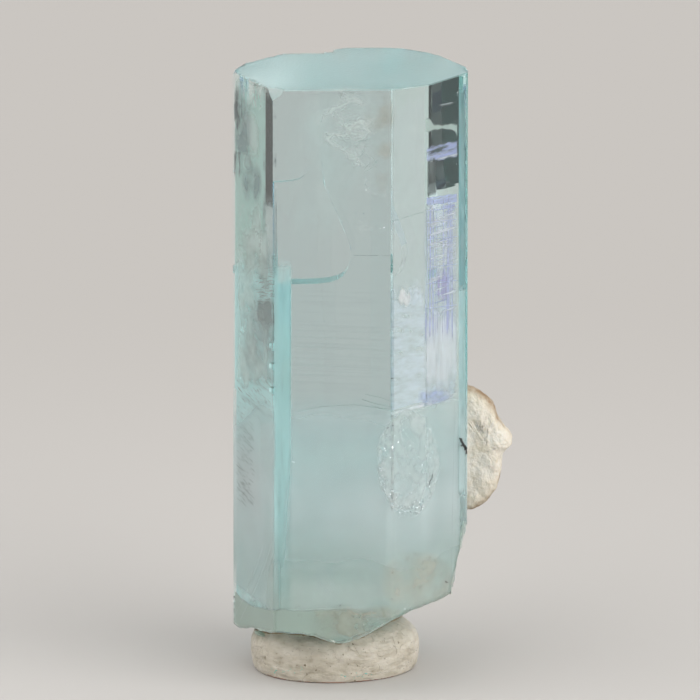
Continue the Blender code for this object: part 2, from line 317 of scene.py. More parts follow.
def roughen_breaks(bm, grown):
    """Finer facets on the breaks, moved by their relief; a break's rim stays on its grown face."""
    edges = [edge for edge in bm.edges if any(face[grown] == 0 for face in edge.link_faces)]
    bmesh.ops.subdivide_edges(bm, edges=edges, cuts=BREAK_CUTS, use_grid_fill=True)
    bm.normal_update()
    moves = {}
    for vert in bm.verts:
        broken = [face for face in vert.link_faces if face[grown] == 0]
        if not broken or any(face[grown] == 2 for face in vert.link_faces):
            continue
        out = sum((face.normal for face in broken), Vector()).normalized()
        move = out * break_relief(vert.co)
        flats = [face.normal for face in vert.link_faces if face[grown] == 1]
        if len(flats) > 1 and flats[0].dot(flats[1]) < 0.999:
            continue
        for normal in flats[:1]:
            move -= normal * move.dot(normal)
        moves[vert] = move
    for vert, move in moves.items():
        vert.co += move


def box_of(bm):
    """The lowest and the highest coordinates of a mesh."""
    spans = [[vert.co[axis] for vert in bm.verts] for axis in range(3)]
    return [min(span) for span in spans], [max(span) for span in spans]


def keep_inside(vert, box):
    low, high = box
    vert.co = [min(max(vert.co[axis], low[axis]), high[axis]) for axis in range(3)]


def fine_prism():
    bm = bmesh.new()
    bm.from_mesh(prism_cad.data)
    bmesh.ops.remove_doubles(bm, verts=bm.verts, dist=1e-6)
    bmesh.ops.dissolve_limit(
        bm, angle_limit=math.radians(0.3), verts=bm.verts, edges=bm.edges
    )
    grown = bm.faces.layers.int.new("grown")
    planes = grown_planes(bm)
    for face in bm.faces:
        face[grown] = 1 if is_grown(face, planes) else 0
    box = box_of(bm)
    wear_edges(bm, grown)
    roughen_breaks(bm, grown)
    for vert in bm.verts:
        keep_inside(vert, box)
    broken = bm.faces.layers.float.new("broken")
    for face in bm.faces:
        face[broken] = BROKEN_SHARES[face[grown]]
        if face[grown] == 1 and face.normal.z > 0.95:
            face[broken] = SATIN_END
        face.smooth = face[grown] == 0
    for edge in bm.edges:
        edge.smooth = {face[grown] for face in edge.link_faces} == {0}
    mesh = bpy.data.meshes.new("aquamarine_prism_fine")
    bm.to_mesh(mesh)
    bm.free()
    return mesh


def show(name, mesh, material, replaces=None):
    """Links a finished piece that stays with the object's one body."""
    piece = bpy.data.objects.new(name, mesh)
    mesh.materials.append(material)
    scene.collection.objects.link(piece)
    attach(piece, "root")
    if replaces:
        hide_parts(replaces)
    return piece


def value_group(name, inputs, output):
    """An empty shader node group that turns its named inputs into one value."""
    group = bpy.data.node_groups.new(name, "ShaderNodeTree")
    for label, kind in inputs:
        group.interface.new_socket(label, in_out="INPUT", socket_type="NodeSocket" + kind)
    group.interface.new_socket(output, in_out="OUTPUT", socket_type="NodeSocketFloat")
    return group, group.nodes.new("NodeGroupInput"), group.nodes.new("NodeGroupOutput")


# Noise over the object, in cells a metre, with a scale of its own along each axis.
object_grain, given, result = value_group(
    "object_grain", (("Scale", "Vector"), ("Offset", "Vector"), ("Detail", "Float")), "Value"
)
place = object_grain.nodes.new("ShaderNodeTexCoord")
mapping = object_grain.nodes.new("ShaderNodeMapping")
texture = object_grain.nodes.new("ShaderNodeTexNoise")
texture.inputs["Scale"].default_value = 1
object_grain.links.new(place.outputs["Object"], mapping.inputs["Vector"])
object_grain.links.new(given.outputs["Scale"], mapping.inputs["Scale"])
object_grain.links.new(given.outputs["Offset"], mapping.inputs["Location"])
object_grain.links.new(mapping.outputs["Vector"], texture.inputs["Vector"])
object_grain.links.new(given.outputs["Detail"], texture.inputs["Detail"])
object_grain.links.new(texture.outputs["Fac"], result.inputs["Value"])


def grain(tree, scale, detail, offset=(0, 0, 0)):
    """Places the object_grain group in a material or group, with values of its own."""
    node = tree.nodes.new("ShaderNodeGroup")
    node.node_tree = object_grain
    node.inputs["Scale"].default_value = scale
    node.inputs["Offset"].default_value = offset
    node.inputs["Detail"].default_value = detail
    return node.outputs["Value"]


def bumped(tree, shader, height, distance):
    """Lets a height bend the shader's normal."""
    bump = tree.nodes.new("ShaderNodeBump")
    bump.inputs["Distance"].default_value = distance
    tree.links.new(height, bump.inputs["Height"])
    tree.links.new(bump.outputs["Normal"], shader.inputs["Normal"])


# Clear glass with slow waves, fine upright and level growth lines, and grit where it is broken.
beryl, shader = new_material("beryl", (1, 1, 1), 0)
shader.inputs["IOR"].default_value = 1.577
shader.inputs["Transmission Weight"].default_value = 1
tree = beryl.node_tree
mask = tree.nodes.new("ShaderNodeAttribute")
mask.attribute_name = "broken"
mask = mask.outputs["Fac"]
tree.links.new(maths(tree, "MULTIPLY", mask, 0.45), shader.inputs["Roughness"])
height = grain(tree, (180, 180, 120), 1)
height = maths(tree, "MULTIPLY_ADD", grain(tree, (1500, 1500, 45), 2), 0.10, height)
height = maths(tree, "MULTIPLY_ADD", grain(tree, (70, 70, 1500), 2), 0.06, height)
grit = maths(tree, "MULTIPLY", grain(tree, (6000, 6000, 6000), 2), mask)
height = maths(tree, "MULTIPLY_ADD", grit, 1.4, height)
bumped(tree, shader, height, 0.02 * MM)
volume = tree.nodes.new("ShaderNodeVolumeAbsorption")
volume.inputs["Color"].default_value = (0.16, 0.90, 0.91, 1)
volume.inputs["Density"].default_value = 20
tree.links.new(volume.outputs["Volume"], tree.nodes["Material Output"].inputs["Volume"])
prism = show("aquamarine_crystal", fine_prism(), beryl, "aquamarine_prism")


# --- Haze inside the prism ----------------------------------------------------------------------
# The lower half is clouded by countless fine healed cracks. They are built as nested, thin, faint
# shells that follow the skin and fade out upwards, so the cloud has depth from every side.

prism_shape = BVHTree.FromPolygons(
    [vert.co for vert in prism.data.vertices], [face.vertices for face in prism.data.polygons]
)
HAZE_FOOT = 4.7 * MM
HAZE_TOP = 18.9 * MM
HAZE_AROUND = 144
HAZE_LEVELS = 48


def smooth_step(low, high, value):
    t = max(0.0, min(1.0, (value - low) / (high - low)))
    return t * t * (3 - 2 * t)


def cover_sheet(name, points, faces, covers, material):
    """A thin sheet with a cover of its own at each point, which its material reads."""
    mesh = bpy.data.meshes.new(name)
    mesh.from_pydata(points, [], faces)
    layer = mesh.attributes.new("cover", "FLOAT", "POINT")
    layer.data.foreach_set("value", covers)
    mesh.shade_smooth()
    return show(name, mesh, material)


def ring_faces(rings, around):
    """The quads between rings of points that lie one above another."""
    faces = []
    for ring in range(rings - 1):
        a = ring * around
        b = a + around
        for i in range(around):
            j = (i + 1) % around
            faces.append((a + i, a + j, b + j, b + i))
    return faces


def milky(place):
    """The main cloud: a clear top edge in front, denser below it and thinner at the foot."""
    back = smooth_step(-4 * MM, 2 * MM, place.y)
    top = HAZE_TOP + 0.16 * max(place.x - 2 * MM, 0) - 0.6 * MM * back
    cover = 0.44 * smooth_step(top, top - (0.9 + 4.5 * back) * MM, place.z)
    cover += 0.56 * smooth_step(top - 0.6 * MM, top - 7.0 * MM, place.z)
    return cover * (1 - 0.25 * smooth_step(13 * MM, 5 * MM, place.z))


def greenish(place):
    """The cloud at the foot, thinner on the left. Its duller, greener tone is painted shade."""
    left = smooth_step(-4.5 * MM, -5.5 * MM, place.x)
    return smooth_step(12.5 * MM, 5.5 * MM, place.z) * (1 - 0.65 * left)


def haze_shell(name, depth, cover, material):
    points = []
    covers = []
    for level in range(HAZE_LEVELS):
        z = HAZE_FOOT + (HAZE_TOP + 1.6 * MM - HAZE_FOOT) * level / (HAZE_LEVELS - 1)
        axis = Vector((0, 0, z))
        foot = smooth_step(HAZE_FOOT, HAZE_FOOT + 0.8 * MM, z)
        for i in range(HAZE_AROUND):
            turn = 2 * math.pi * i / HAZE_AROUND
            out = Vector((math.cos(turn), math.sin(turn), 0))
            hit, _, _, _ = prism_shape.ray_cast(axis, out)
            reach = (hit - axis).length if hit else depth
            points.append(axis + out * max(reach - depth, 0.3 * MM))
            covers.append(cover(points[-1]) * foot)
    cover_sheet(name, points, ring_faces(HAZE_LEVELS, HAZE_AROUND), covers, material)


# The cover of a thin veil: its mesh's own cover times a noise cut softly between two levels. With a
# ridge of 1 the noise is folded, so that it draws thin, curved lines.
veil_cover, given, result = value_group(
    "veil_cover",
    (
        ("Scale", "Vector"),
        ("Offset", "Vector"),
        ("Detail", "Float"),
        ("Ridge", "Float"),
        ("Low", "Float"),
        ("High", "Float"),
        ("Strength", "Float"),
    ),
    "Alpha",
)
pattern = veil_cover.nodes.new("ShaderNodeGroup")
pattern.node_tree = object_grain
for label in ("Scale", "Offset", "Detail"):
    veil_cover.links.new(given.outputs[label], pattern.inputs[label])
own = veil_cover.nodes.new("ShaderNodeAttribute")
own.attribute_name = "cover"
off_middle = maths(veil_cover, "ABSOLUTE", maths(veil_cover, "SUBTRACT", pattern.outputs["Value"], 0.5))
folded = maths(veil_cover, "MULTIPLY_ADD", off_middle, -6.0, 1.0)
shift = maths(veil_cover, "SUBTRACT", folded, pattern.outputs["Value"])
shaped = maths(veil_cover, "MULTIPLY_ADD", shift, given.outputs["Ridge"], pattern.outputs["Value"])
cut = soft_ramp(veil_cover, shaped, given.outputs["Low"], given.outputs["High"], 0, given.outputs["Strength"])
covered = maths(veil_cover, "MULTIPLY", cut, own.outputs["Fac"])
veil_cover.links.new(covered, result.inputs["Alpha"])


def veil_material(
    name, colour, strength, scale, low, high, detail, metallic=0.0, roughness=0.6, ridge=0.0
):
    """A thin veil that covers up to strength where its noise is above low."""
    material, shader = new_material(name, colour, roughness)
    shader.inputs["Metallic"].default_value = metallic
    shader.inputs["Specular IOR Level"].default_value = 0
    tree = material.node_tree
    node = tree.nodes.new("ShaderNodeGroup")
    node.node_tree = veil_cover
    values = (("Scale", scale), ("Detail", detail), ("Ridge", ridge), ("Low", low), ("High", high))
    for label, value in (*values, ("Strength", strength)):
        node.inputs[label].default_value = value
    tree.links.new(node.outputs["Alpha"], shader.inputs["Alpha"])
    return material


skin_haze = veil_material("beryl_haze_outer", (0.93, 0.99, 1.0), 0.73, (130, 130, 90), -0.35, 0.75, 2)
# The haze at the foot is a real cloud, painted duller and greener as shade low on the crystal.
foot_shade_cloud = veil_material("beryl_foot_shade", (0.66, 0.80, 0.74), 0.62, (260, 260, 160), -0.2, 0.75, 4)
core_haze = veil_material("beryl_haze_inner", (0.84, 1.0, 1.0), 0.20, (110, 110, 90), -0.3, 0.9, 2)
haze_shell("haze_shell_outer", 0.42 * MM, milky, skin_haze)
haze_shell("haze_shell_foot", 0.30 * MM, greenish, foot_shade_cloud)
for number, depth in enumerate((1.1 * MM, 2.1 * MM, 3.6 * MM), 1):
    haze_shell(f"haze_shell_{number}", depth, milky, core_haze)

# Crushed beryl under the broken surfaces: a greenish-grey layer just inside them.
CRUSH_DEPTH = 0.10 * MM


def crushed_layer():
    bm = bmesh.new()
    bm.from_mesh(prism.data)
    broken = bm.faces.layers.float["broken"]
    sound = [face for face in bm.faces if face[broken] < 0.9]
    bmesh.ops.delete(bm, geom=sound, context="FACES")
    bm.normal_update()
    cover = bm.verts.layers.float.new("cover")
    rim = {vert for vert in bm.verts if vert.is_boundary}
    near = {edge.other_vert(vert) for vert in rim for edge in vert.link_edges}
    for vert in bm.verts:
        share = 0.0 if vert in rim else (0.35 if vert in near else 1.0)
        vert[cover] = share * smooth_step(22 * MM, 18 * MM, vert.co.z)
    box = box_of(bm)
    for vert in bm.verts:
        if vert not in rim:
            vert.co -= vert.normal * CRUSH_DEPTH
            keep_inside(vert, box)
    mesh = bpy.data.meshes.new("crushed_layer")
    bm.to_mesh(mesh)
    bm.free()
    mesh.shade_smooth()
    return mesh


crushed = veil_material("crushed_beryl", (0.86, 0.90, 0.82), 0.66, (900, 900, 900), -0.05, 0.70, 6)
show("crushed_layer", crushed_layer(), crushed)


# --- Veils under the prism's skin ---------------------------------------------------------------
# Flat healed cracks lie just under the faces. Each is a thin sheet that follows the skin. Its
# place is given in millimetres across and up, seen from the front and a little above.

VIEW_ACROSS = Vector((1, 0, 0))
VIEW_UP = Vector((0, math.sin(CAMERA_PITCH), math.cos(CAMERA_PITCH)))


def sight(across, up):
    """The direction from the camera to the place at (across, up)."""
    aimed = CAMERA_AIM + (VIEW_ACROSS * across + VIEW_UP * up) * MM
    return (aimed - camera.location).normalized()


def under_skin(across, up, depth):
    """The place below the skin that is seen at (across, up), or None beside the crystal."""
    hit, normal, _, _ = prism_shape.ray_cast(camera.location, sight(across, up))
    return None if hit is None else hit - normal * depth * MM


def oval(u, v):
    """Full cover in the middle of a sheet, fading to its rounded rim."""
    return smooth_step(1.0, 0.25, (2 * u - 1) ** 2 + (2 * v - 1) ** 2)


def soft_sides(side, end):
    """A cover that fades over these shares of the sheet at its sides and ends, raggedly."""

    def cover(u, v):
        ragged = 0.6 * end * noise.noise(Vector((u * 5, v * 2, end * 40)))
        across = smooth_step(0, side, u) * smooth_step(1, 1 - side, u)
        return across * smooth_step(0, end, v + ragged) * smooth_step(1, 1 - end, v + ragged)

    return cover


def grid_faces(index):
    """The quads between the points of a grid. The index gives each (i, j) its point's number."""
    faces = []
    for i, j in index:
        corners = [index.get(key) for key in ((i, j), (i + 1, j), (i + 1, j + 1), (i, j + 1))]
        if None not in corners:
            faces.append(corners)
    return faces


def veil(name, material, left, right, low, high, depth, cover=oval, rise=0.0, steps=(28, 28)):
    """A sheet between left and right and between low and high. Its right end is higher by rise."""
    points = []
    covers = []
    index = {}
    for i in range(steps[0] + 1):
        for j in range(steps[1] + 1):
            u = i / steps[0]
            v = j / steps[1]
            up = low + (high - low) * v + rise * (u - 0.5)
            place = under_skin(left + (right - left) * u, up, depth)
            if place is not None:
                index[i, j] = len(points)
                points.append(place)
                covers.append(cover(u, v))
    return cover_sheet(name, points, grid_faces(index), covers, material)


# Pale wisps high in the front face and at the chipped corner, with two faint clouds behind them.
wisp = veil_material("pale_wisp", (0.95, 1.0, 0.98), 0.42, (300, 300, 520), 0.50, 1.05, 9, ridge=1.0)
smoke = veil_material("pale_smoke", (0.96, 1.0, 0.99), 0.62, (330, 330, 520), 0.44, 0.74, 9)
veil("wispy_veil", wisp, -2.6, 1.9, 10.4, 17.2, 0.7)
veil("wispy_veil_high", wisp, -1.5, 1.6, 12.0, 15.4, 0.55)
veil("wispy_veil_smoke", smoke, -1.6, 1.6, 11.6, 15.6, 0.6)
veil("wispy_veil_bright", wisp, -0.4, 1.4, 12.2, 14.6, 0.45)
veil("wispy_veil_trail", smoke, 0.0, 2.5, 6.2, 11.9, 0.6)
veil("wispy_veil_corner", smoke, -6.7, -4.4, 16.2, 17.9, 0.15)
cloud = veil_material("pale_cloud", (0.82, 0.98, 0.96), 0.30, (260, 260, 180), 0.25, 0.75, 4)
veil("front_cloud", cloud, -4.7, 0.4, 5.3, 17.0, 1.1)
veil("front_cloud_high", cloud, -3.4, 2.4, 9.4, 17.4, 1.4)

# The white zone of the right-hand faces ends below in a bright, slanting rim.
white_zone = veil_material(
    "white_zone", (0.80, 0.90, 1.0), 0.62, (700, 700, 1500), 0.10, 0.70, 6, metallic=1.0, roughness=0.5
)


def white_zone_cover(u, v):
    ragged = 0.06 * noise.noise(Vector((u * 6, v * 3, 2.0)))
    streaks = 0.10 * noise.noise(Vector((u * 30, v * 2, 7.0)))
    top = 0.93 - 0.30 * smooth_step(0.42, 0.60, u)
    return smooth_step(top + 0.07, top - 0.16, v + ragged + streaks) * smooth_step(1.0, 0.94, u)


veil("white_zone", white_zone, 2.70, 6.95, -3.3, 5.0, 0.35, white_zone_cover, 1.2, (60, 80))
right_film = veil_material(
    "right_film", (0.90, 0.93, 1.0), 0.16, (500, 500, 900), 0.0, 0.60, 4, metallic=1.0, roughness=0.6
)
veil("right_film", right_film, 2.70, 4.86, 2.6, 16.4, 0.35, soft_sides(0.04, 0.10), 0.6, (20, 60))
white_film = veil_material(
    "white_film", (0.94, 0.98, 1.0), 0.95, (1400, 1400, 260), 0.00, 0.55, 5, metallic=1.0, roughness=0.75
)
veil("white_film", white_film, 4.80, 6.93, -3.0, 3.0, 0.28, soft_sides(0.06, 0.25), 0.5, (40, 50))
glow = veil_material(
    "glowing_rim", (0.92, 0.96, 1.0), 0.85, (500, 500, 1600), 0.20, 0.60, 5, metallic=1.0, roughness=0.5
)
veil("glowing_rim", glow, 2.68, 6.9, -3.75, -3.25, 0.40, soft_sides(0.10, 0.45), 1.35, (40, 14))
# Above the rim, a pale blue veil is a painted highlight.
blue_rim_highlight = veil_material("blue_rim_highlight", (0.66, 0.74, 1.0), 0.80, (600, 600, 1700), 0.26, 0.66, 7)
veil("blue_rim_highlight", blue_rim_highlight, 4.3, 6.8, -3.6, -2.35, 0.34, soft_sides(0.25, 0.35), 0.45, (30, 16))

# Fine blue-violet and silvery streaks cross each other in the narrow right-hand face.
lilac_base = veil_material("lilac_base", (0.74, 0.76, 1.0), 0.26, (300, 300, 900), 0.0, 0.70, 3)
level_violet = veil_material("level_violet", (0.50, 0.56, 1.0), 0.55, (200, 200, 6000), 0.50, 0.70, 4)
level_silver = veil_material("level_silver", (0.90, 0.94, 1.0), 0.85, (260, 260, 5200), 0.54, 0.68, 5)
upright_violet = veil_material("upright_violet", (0.60, 0.64, 1.0), 0.70, (7500, 7500, 60), 0.46, 0.64, 3)
streak_violet = veil_material("streak_violet", (0.60, 0.67, 0.98), 0.88, (500, 500, 3600), 0.26, 0.54, 9)
band = soft_sides(0.04, 0.15)
veil("upper_streak_violet", streak_violet, 5.03, 6.94, 12.05, 13.15, 0.30, band, 0.40)
veil("upper_streak_silver", level_silver, 5.03, 6.94, 12.10, 13.10, 0.22, band, 0.40)
veil("upper_dash_silver", level_silver, 5.7, 6.7, 15.45, 15.85, 0.22, oval, 0.12)
veil("middle_dash_silver", level_silver, 5.85, 6.55, 10.60, 10.95, 0.22, oval, 0.05)
veil("middle_streak_violet", streak_violet, 5.03, 6.93, 9.25, 9.85, 0.30, band, 0.25)
veil("lattice_base", lilac_base, 4.99, 6.94, 1.6, 9.8, 0.34, soft_sides(0.14, 0.10), 0.35, (28, 60))
veil("lattice_violet", level_violet, 4.99, 6.94, 2.5, 9.7, 0.30, soft_sides(0.16, 0.08), 0.35, (28, 80))
veil("lattice_silver", level_silver, 4.99, 6.94, 2.0, 9.5, 0.22, soft_sides(0.16, 0.08), 0.45, (28, 80))
veil("lattice_upright", upright_violet, 4.70, 6.90, 0.4, 9.8, 0.26, soft_sides(0.10, 0.12), 0.2, (40, 60))
purple = veil_material("purple_patch", (0.55, 0.48, 0.85), 0.55, (3000, 3000, 300), 0.20, 0.60, 3)
veil("purple_patch", purple, 5.55, 6.35, 2.9, 5.2, 0.28, soft_sides(0.2, 0.3))

# A pale grey-green band scoops under the highest dark part of the same face, over a dark ellipse.
# The band is a painted reflection, a light stripe laid into that face's dark reflection.
pale_reflection = veil_material("pale_reflection_band", (0.62, 0.74, 0.70), 0.92, (900, 900, 1600), 0.10, 0.45, 6)


def scooped_band(u, v):
    ragged = 0.05 * noise.noise(Vector((u * 7, v * 4, 5.0)))
    ellipse = ((u - 0.42) / 0.56) ** 2 + ((v - 0.36) / 0.21) ** 2 + ragged * 4
    scoop = 0.68 + 0.22 * smooth_step(0.34, 0.0, u) + ragged
    upper = smooth_step(scoop + 0.05, scoop - 0.02, v)
    return smooth_step(0.90, 1.20, ellipse) * upper * smooth_step(0.26, 0.36, v)


veil("pale_reflection_band", pale_reflection, 5.03, 6.93, 12.9, 14.9, 0.34, scooped_band, 0.15, (40, 40))

# Rust-brown stains, faint in the front face and stronger in the chipped end and low on the right.
stain = veil_material("iron_stain", (0.60, 0.50, 0.36), 0.24, (420, 420, 520), 0.40, 0.64, 5)
veil("stain_right", stain, 0.6, 3.2, 11.6, 17.0, 0.3)
veil("stain_corner", stain, 1.4, 2.66, 9.0, 16.9, 0.25)
veil("stain_end", stain, -1.2, 0.0, 18.4, 19.3, 0.12)
rust = veil_material("rust_speckle", (0.50, 0.43, 0.29), 0.30, (1700, 1700, 1700), 0.54, 0.74, 6)
veil("rust_low_right", rust, 2.4, 6.5, -16.0, -12.0, 0.15)
veil("rust_foot", rust, -4.0, 4.0, -18.4, -16.2, 0.15, soft_sides(0.1, 0.2))
cream = veil_material("cream_stain", (0.86, 0.78, 0.64), 0.50, (520, 520, 520), 0.15, 0.75, 9)
veil("cream_foot", cream, -2.6, 4.2, -18.7, -16.2, 0.06, soft_sides(0.2, 0.25))
veil("cream_low_right", cream, 1.6, 6.9, -16.8, -12.6, 0.10)

# Faint level growth lines, a little darker than the front face.
striated = veil_material("growth_lines", (0.46, 0.54, 0.54), 0.17, (90, 90, 6500), 0.42, 0.80, 7)
veil("striated_veil", striated, -4.4, 2.66, -3.6, 4.3, 0.8, soft_sides(0.2, 0.25), 0.1, (30, 60))

# A bright spot of fine flakes high in the white zone, painted white as the highlight there.
highlight_spot = veil_material("highlight_spot", (1.0, 1.0, 1.0), 0.92, (2100, 2100, 800), 0.40, 0.60, 8)
veil("highlight_spot_flakes", highlight_spot, 3.05, 4.0, 2.6, 4.1, 0.24, oval, 0.0, (20, 20))

# A small dark film at the side wall of the right-hand recess: a painted dark reflection that fills out
# the dark part of the right-hand face.
recess_dark_reflection = veil_material("recess_dark_reflection", (0.13, 0.165, 0.165), 0.80, (500, 500, 2300), 0.30, 0.46, 6)
veil("recess_dark_reflection_film", recess_dark_reflection, 5.02, 5.56, 9.75, 12.2, 0.20, soft_sides(0.12, 0.12), 0.1, (16, 30))

# The upper limit of the frosted foot, as places seen from the front, in millimetres.
FOOT_TOP = ((-7.6, -15.0), (-7.0, -15.75), (-6.0, -16.35), (-4.8, -16.5), (-3.6, -16.55), (2.6, -16.4))


def foot_limit(across):
    """How high the frosted foot reaches at a place across."""
    for (x0, y0), (x1, y1) in zip(FOOT_TOP, FOOT_TOP[1:]):
        if across <= x1:
            break
    limit = y0 + (y1 - y0) * (across - x0) / (x1 - x0)
    return limit + 0.10 * noise.noise(Vector((across * 1.3, 0, 4)))


# Clouds of the left face: green and soft above, grey and rippled in the middle, milky below.
left_green = veil_material("left_green", (0.60, 0.84, 0.79), 0.97, (260, 260, 150), -0.35, 0.30, 3)
veil("left_green_cloud", left_green, -7.52, -5.42, 4.6, 17.5, 0.35, soft_sides(0.02, 0.14), 0.0, (30, 80))
left_white = veil_material("left_white", (0.84, 1.0, 0.97), 0.80, (260, 260, 330), 0.36, 0.66, 4)
veil("left_white_cloud", left_white, -7.2, -5.75, 11.0, 15.6, 0.28, oval, 0.0, (24, 60))
veil("left_white_middle", left_white, -7.3, -5.6, 4.6, 10.2, 0.28, soft_sides(0.2, 0.2), 0.0, (24, 60))
veil("left_white_low", left_white, -7.3, -5.2, -2.4, 8.0, 0.28, soft_sides(0.12, 0.1), 0.0, (24, 60))
left_blue = veil_material("left_blue_grey", (0.36, 0.49, 0.52), 0.56, (330, 330, 420), 0.36, 0.66, 6)
veil("left_blue_cloud", left_blue, -7.7, -6.2, 11.2, 17.0, 0.24, soft_sides(0.40, 0.15), 0.0, (16, 60))
veil("left_blue_cloud_low", left_blue, -7.0, -5.6, 9.0, 12.2, 0.24, oval)
left_crack = veil_material("left_crack", (0.90, 1.0, 0.98), 0.6, (1100, 1100, 600), 0.66, 1.0, 9, ridge=1.0)
veil("left_cracks_top", left_crack, -7.4, -5.0, 15.0, 18.0, 0.15, oval)
left_milk = veil_material("left_milk", (0.69, 1.0, 1.0), 1.0, (300, 300, 200), -0.3, 0.35, 3)
veil("left_milk_cloud", left_milk, -7.52, -4.80, -17.6, 8.0, 0.45, soft_sides(0.02, 0.12), 0.0, (28, 100))
left_edge = veil_material("left_edge_dark", (0.13, 0.18, 0.20), 0.85, (1700, 1700, 620), 0.45, 0.64, 8)
veil("left_edge_high", left_edge, -7.5, -6.85, 13.8, 17.3, 0.16, soft_sides(0.15, 0.15), 0.0, (14, 60))
veil("left_edge_patch", left_edge, -7.45, -6.95, 10.9, 12.9, 0.16, soft_sides(0.20, 0.25), 0.0, (14, 40))
# By the front-left edge, a faint dark film with some texture is a painted dark reflection in the dark column.
dark_column_reflection = veil_material("dark_column_reflection", (0.11, 0.16, 0.18), 0.30, (900, 900, 1300), 0.50, 0.72, 7)
veil("dark_column_reflection_texture", dark_column_reflection, -5.62, -4.86, 9.4, 16.4, 0.26, soft_sides(0.08, 0.05), 0.0, (12, 80))
left_grey = veil_material("left_grey", (0.44, 0.55, 0.56), 0.60, (300, 300, 700), 0.10, 0.72, 6)
veil("left_grey_fade", left_grey, -5.66, -4.86, 4.6, 10.0, 0.30, soft_sides(0.12, 0.22), 0.0, (12, 60))
ripple = veil_material("left_ripple", (0.42, 0.50, 0.50), 0.30, (140, 140, 2600), 0.46, 0.74, 4)
veil("left_ripples", ripple, -6.6, -4.85, 2.2, 6.4, 0.30, soft_sides(0.25, 0.15), -0.5, (24, 50))
veil("left_ripples_low", ripple, -7.2, -4.85, -4.6, 2.4, 0.30, soft_sides(0.15, 0.2), -0.9, (24, 60))


def middle_cover(u, v):
    """Fades in from the left and from both ends."""
    return smooth_step(0, 0.35, u) * smooth_step(0, 0.35, v) * smooth_step(1, 0.75, v)


def panel_cover(u, v):
    """Nearly crisp at the left and the top, and fading downwards."""
    return smooth_step(0, 0.2, u) * smooth_step(0, 0.6, v) * smooth_step(1, 0.90, v)


veil("left_grey_middle", left_grey, -7.0, -4.84, -2.4, 3.4, 0.36, middle_cover, -0.4, (24, 60))
left_dark = veil_material("left_dark_foot", (0.36, 0.45, 0.45), 0.60, (150, 150, 1500), 0.05, 0.60, 4)
veil("left_dark_foot", left_dark, -6.1, -4.86, 1.4, 3.4, 0.33, soft_sides(0.22, 0.30), -0.3, (16, 30))
panel = veil_material("blue_panel", (0.92, 1.0, 1.0), 0.24, (200, 200, 200), -0.6, 0.3, 2)
veil("left_blue_panel", panel, -5.85, -4.88, -9.0, -4.4, 0.18, panel_cover)

# The frosted foot: a smooth, greenish-grey band that slopes down to the right on the left face.
# The break is real; its greenish grey is painted shade under the crystal's broken end.
frosted_foot_shade = veil_material("frosted_foot_shade", (0.56, 0.68, 0.61), 0.88, (300, 300, 300), -0.4, 0.4, 3)


def foot_film(name, left, right, low, high, fade, steps):
    """A film below the foot's curved upper limit, thinner to the right by the fade."""

    def cover(u, v):
        limit = foot_limit(left + (right - left) * u)
        up = low + (high - low) * v
        return smooth_step(limit + 0.06, limit - 0.16, up) * (1 - fade * smooth_step(0.25, 1, u))

    veil(name, frosted_foot_shade, left, right, low, high, 0.22, cover, 0.0, steps)


foot_film("left_foot", -7.52, -4.86, -18.4, -14.9, 0, (60, 70))
foot_film("front_foot", -4.84, 2.5, -19.0, -16.2, 1, (120, 60))

# The long reflection just right of the front-left edge is filled with a pale aqua film.
stripe_film = veil_material("stripe_film", (0.66, 1.0, 1.0), 0.68, (1500, 1500, 200), -0.1, 0.55, 4)


def stripe_cover(u, v):
    """Fullest at the left and the top, narrower and fainter towards the foot."""
    across = smooth_step(1, 0.80 - 0.4 * smooth_step(0.5, 0.2, v), u)
    ends = smooth_step(0, 0.05, v) * smooth_step(1, 0.95, v)
    return across * (0.25 + 0.75 * smooth_step(0, 0.36, v)) * ends


veil("stripe_film", stripe_film, -4.84, -3.66, -16.2, 5.9, 0.22, stripe_cover, 0.0, (14, 90))

# The rib on the right is a deeper green, and a pale film lies just under the flat end.
rib_green = veil_material("rib_green", (0.42, 0.66, 0.68), 0.80, (900, 900, 140), 0.05, 0.55, 4)
veil("rib_green_band", rib_green, 6.93, 7.46, 3.4, 16.9, 0.15, soft_sides(0.1, 0.05), 0.0, (8, 80))
rib_pale = veil_material("rib_pale", (0.84, 1.0, 1.0), 0.80, (900, 900, 140), 0.05, 0.55, 4)
veil("rib_pale_band", rib_pale, 6.93, 7.46, -9.5, 4.4, 0.15, soft_sides(0.1, 0.05), 0.0, (8, 80))
end_film = veil_material("end_film", (0.74, 0.93, 0.93), 0.58, (150, 150, 150), -0.1, 0.8, 3)
END_STEP = 0.2 * MM
END_REACH = 37                    # steps from the axis to beyond the rim
END_LEVEL = 38 * MM               # what lies lower is a recess or a break
END_DEPTH = 0.10 * MM


def show_end_film():
    points = []
    covers = []
    index = {}
    for i in range(-END_REACH, END_REACH + 1):
        for j in range(-END_REACH, END_REACH + 1):
            above = Vector((i * END_STEP, j * END_STEP, 60 * MM))
            hit, normal, _, _ = prism_shape.ray_cast(above, Vector((0, 0, -1)))
            if hit and normal.z > 0.95 and hit.z > END_LEVEL:
                index[i, j] = len(points)
                points.append(hit - normal * END_DEPTH)
                covers.append(0.80 + 0.75 * smooth_step(-2.0 * MM, -5.5 * MM, hit.x))
    cover_sheet("end_film", points, grid_faces(index), covers, end_film)


show_end_film()


# --- Flakes, needles and threads in the prism ---------------------------------------------------
# Bright flakes line the edges of the healed cracks. Black schorl needles and short grey threads
# grew with the crystal and lie just under its faces.

LIGHT_SIDE = Vector((0.42, -0.72, 0.55)).normalized()

flake_white, shader = new_material("flake_white", (0.97, 0.98, 1.0), 0.22)
shader.inputs["Metallic"].default_value = 1.0


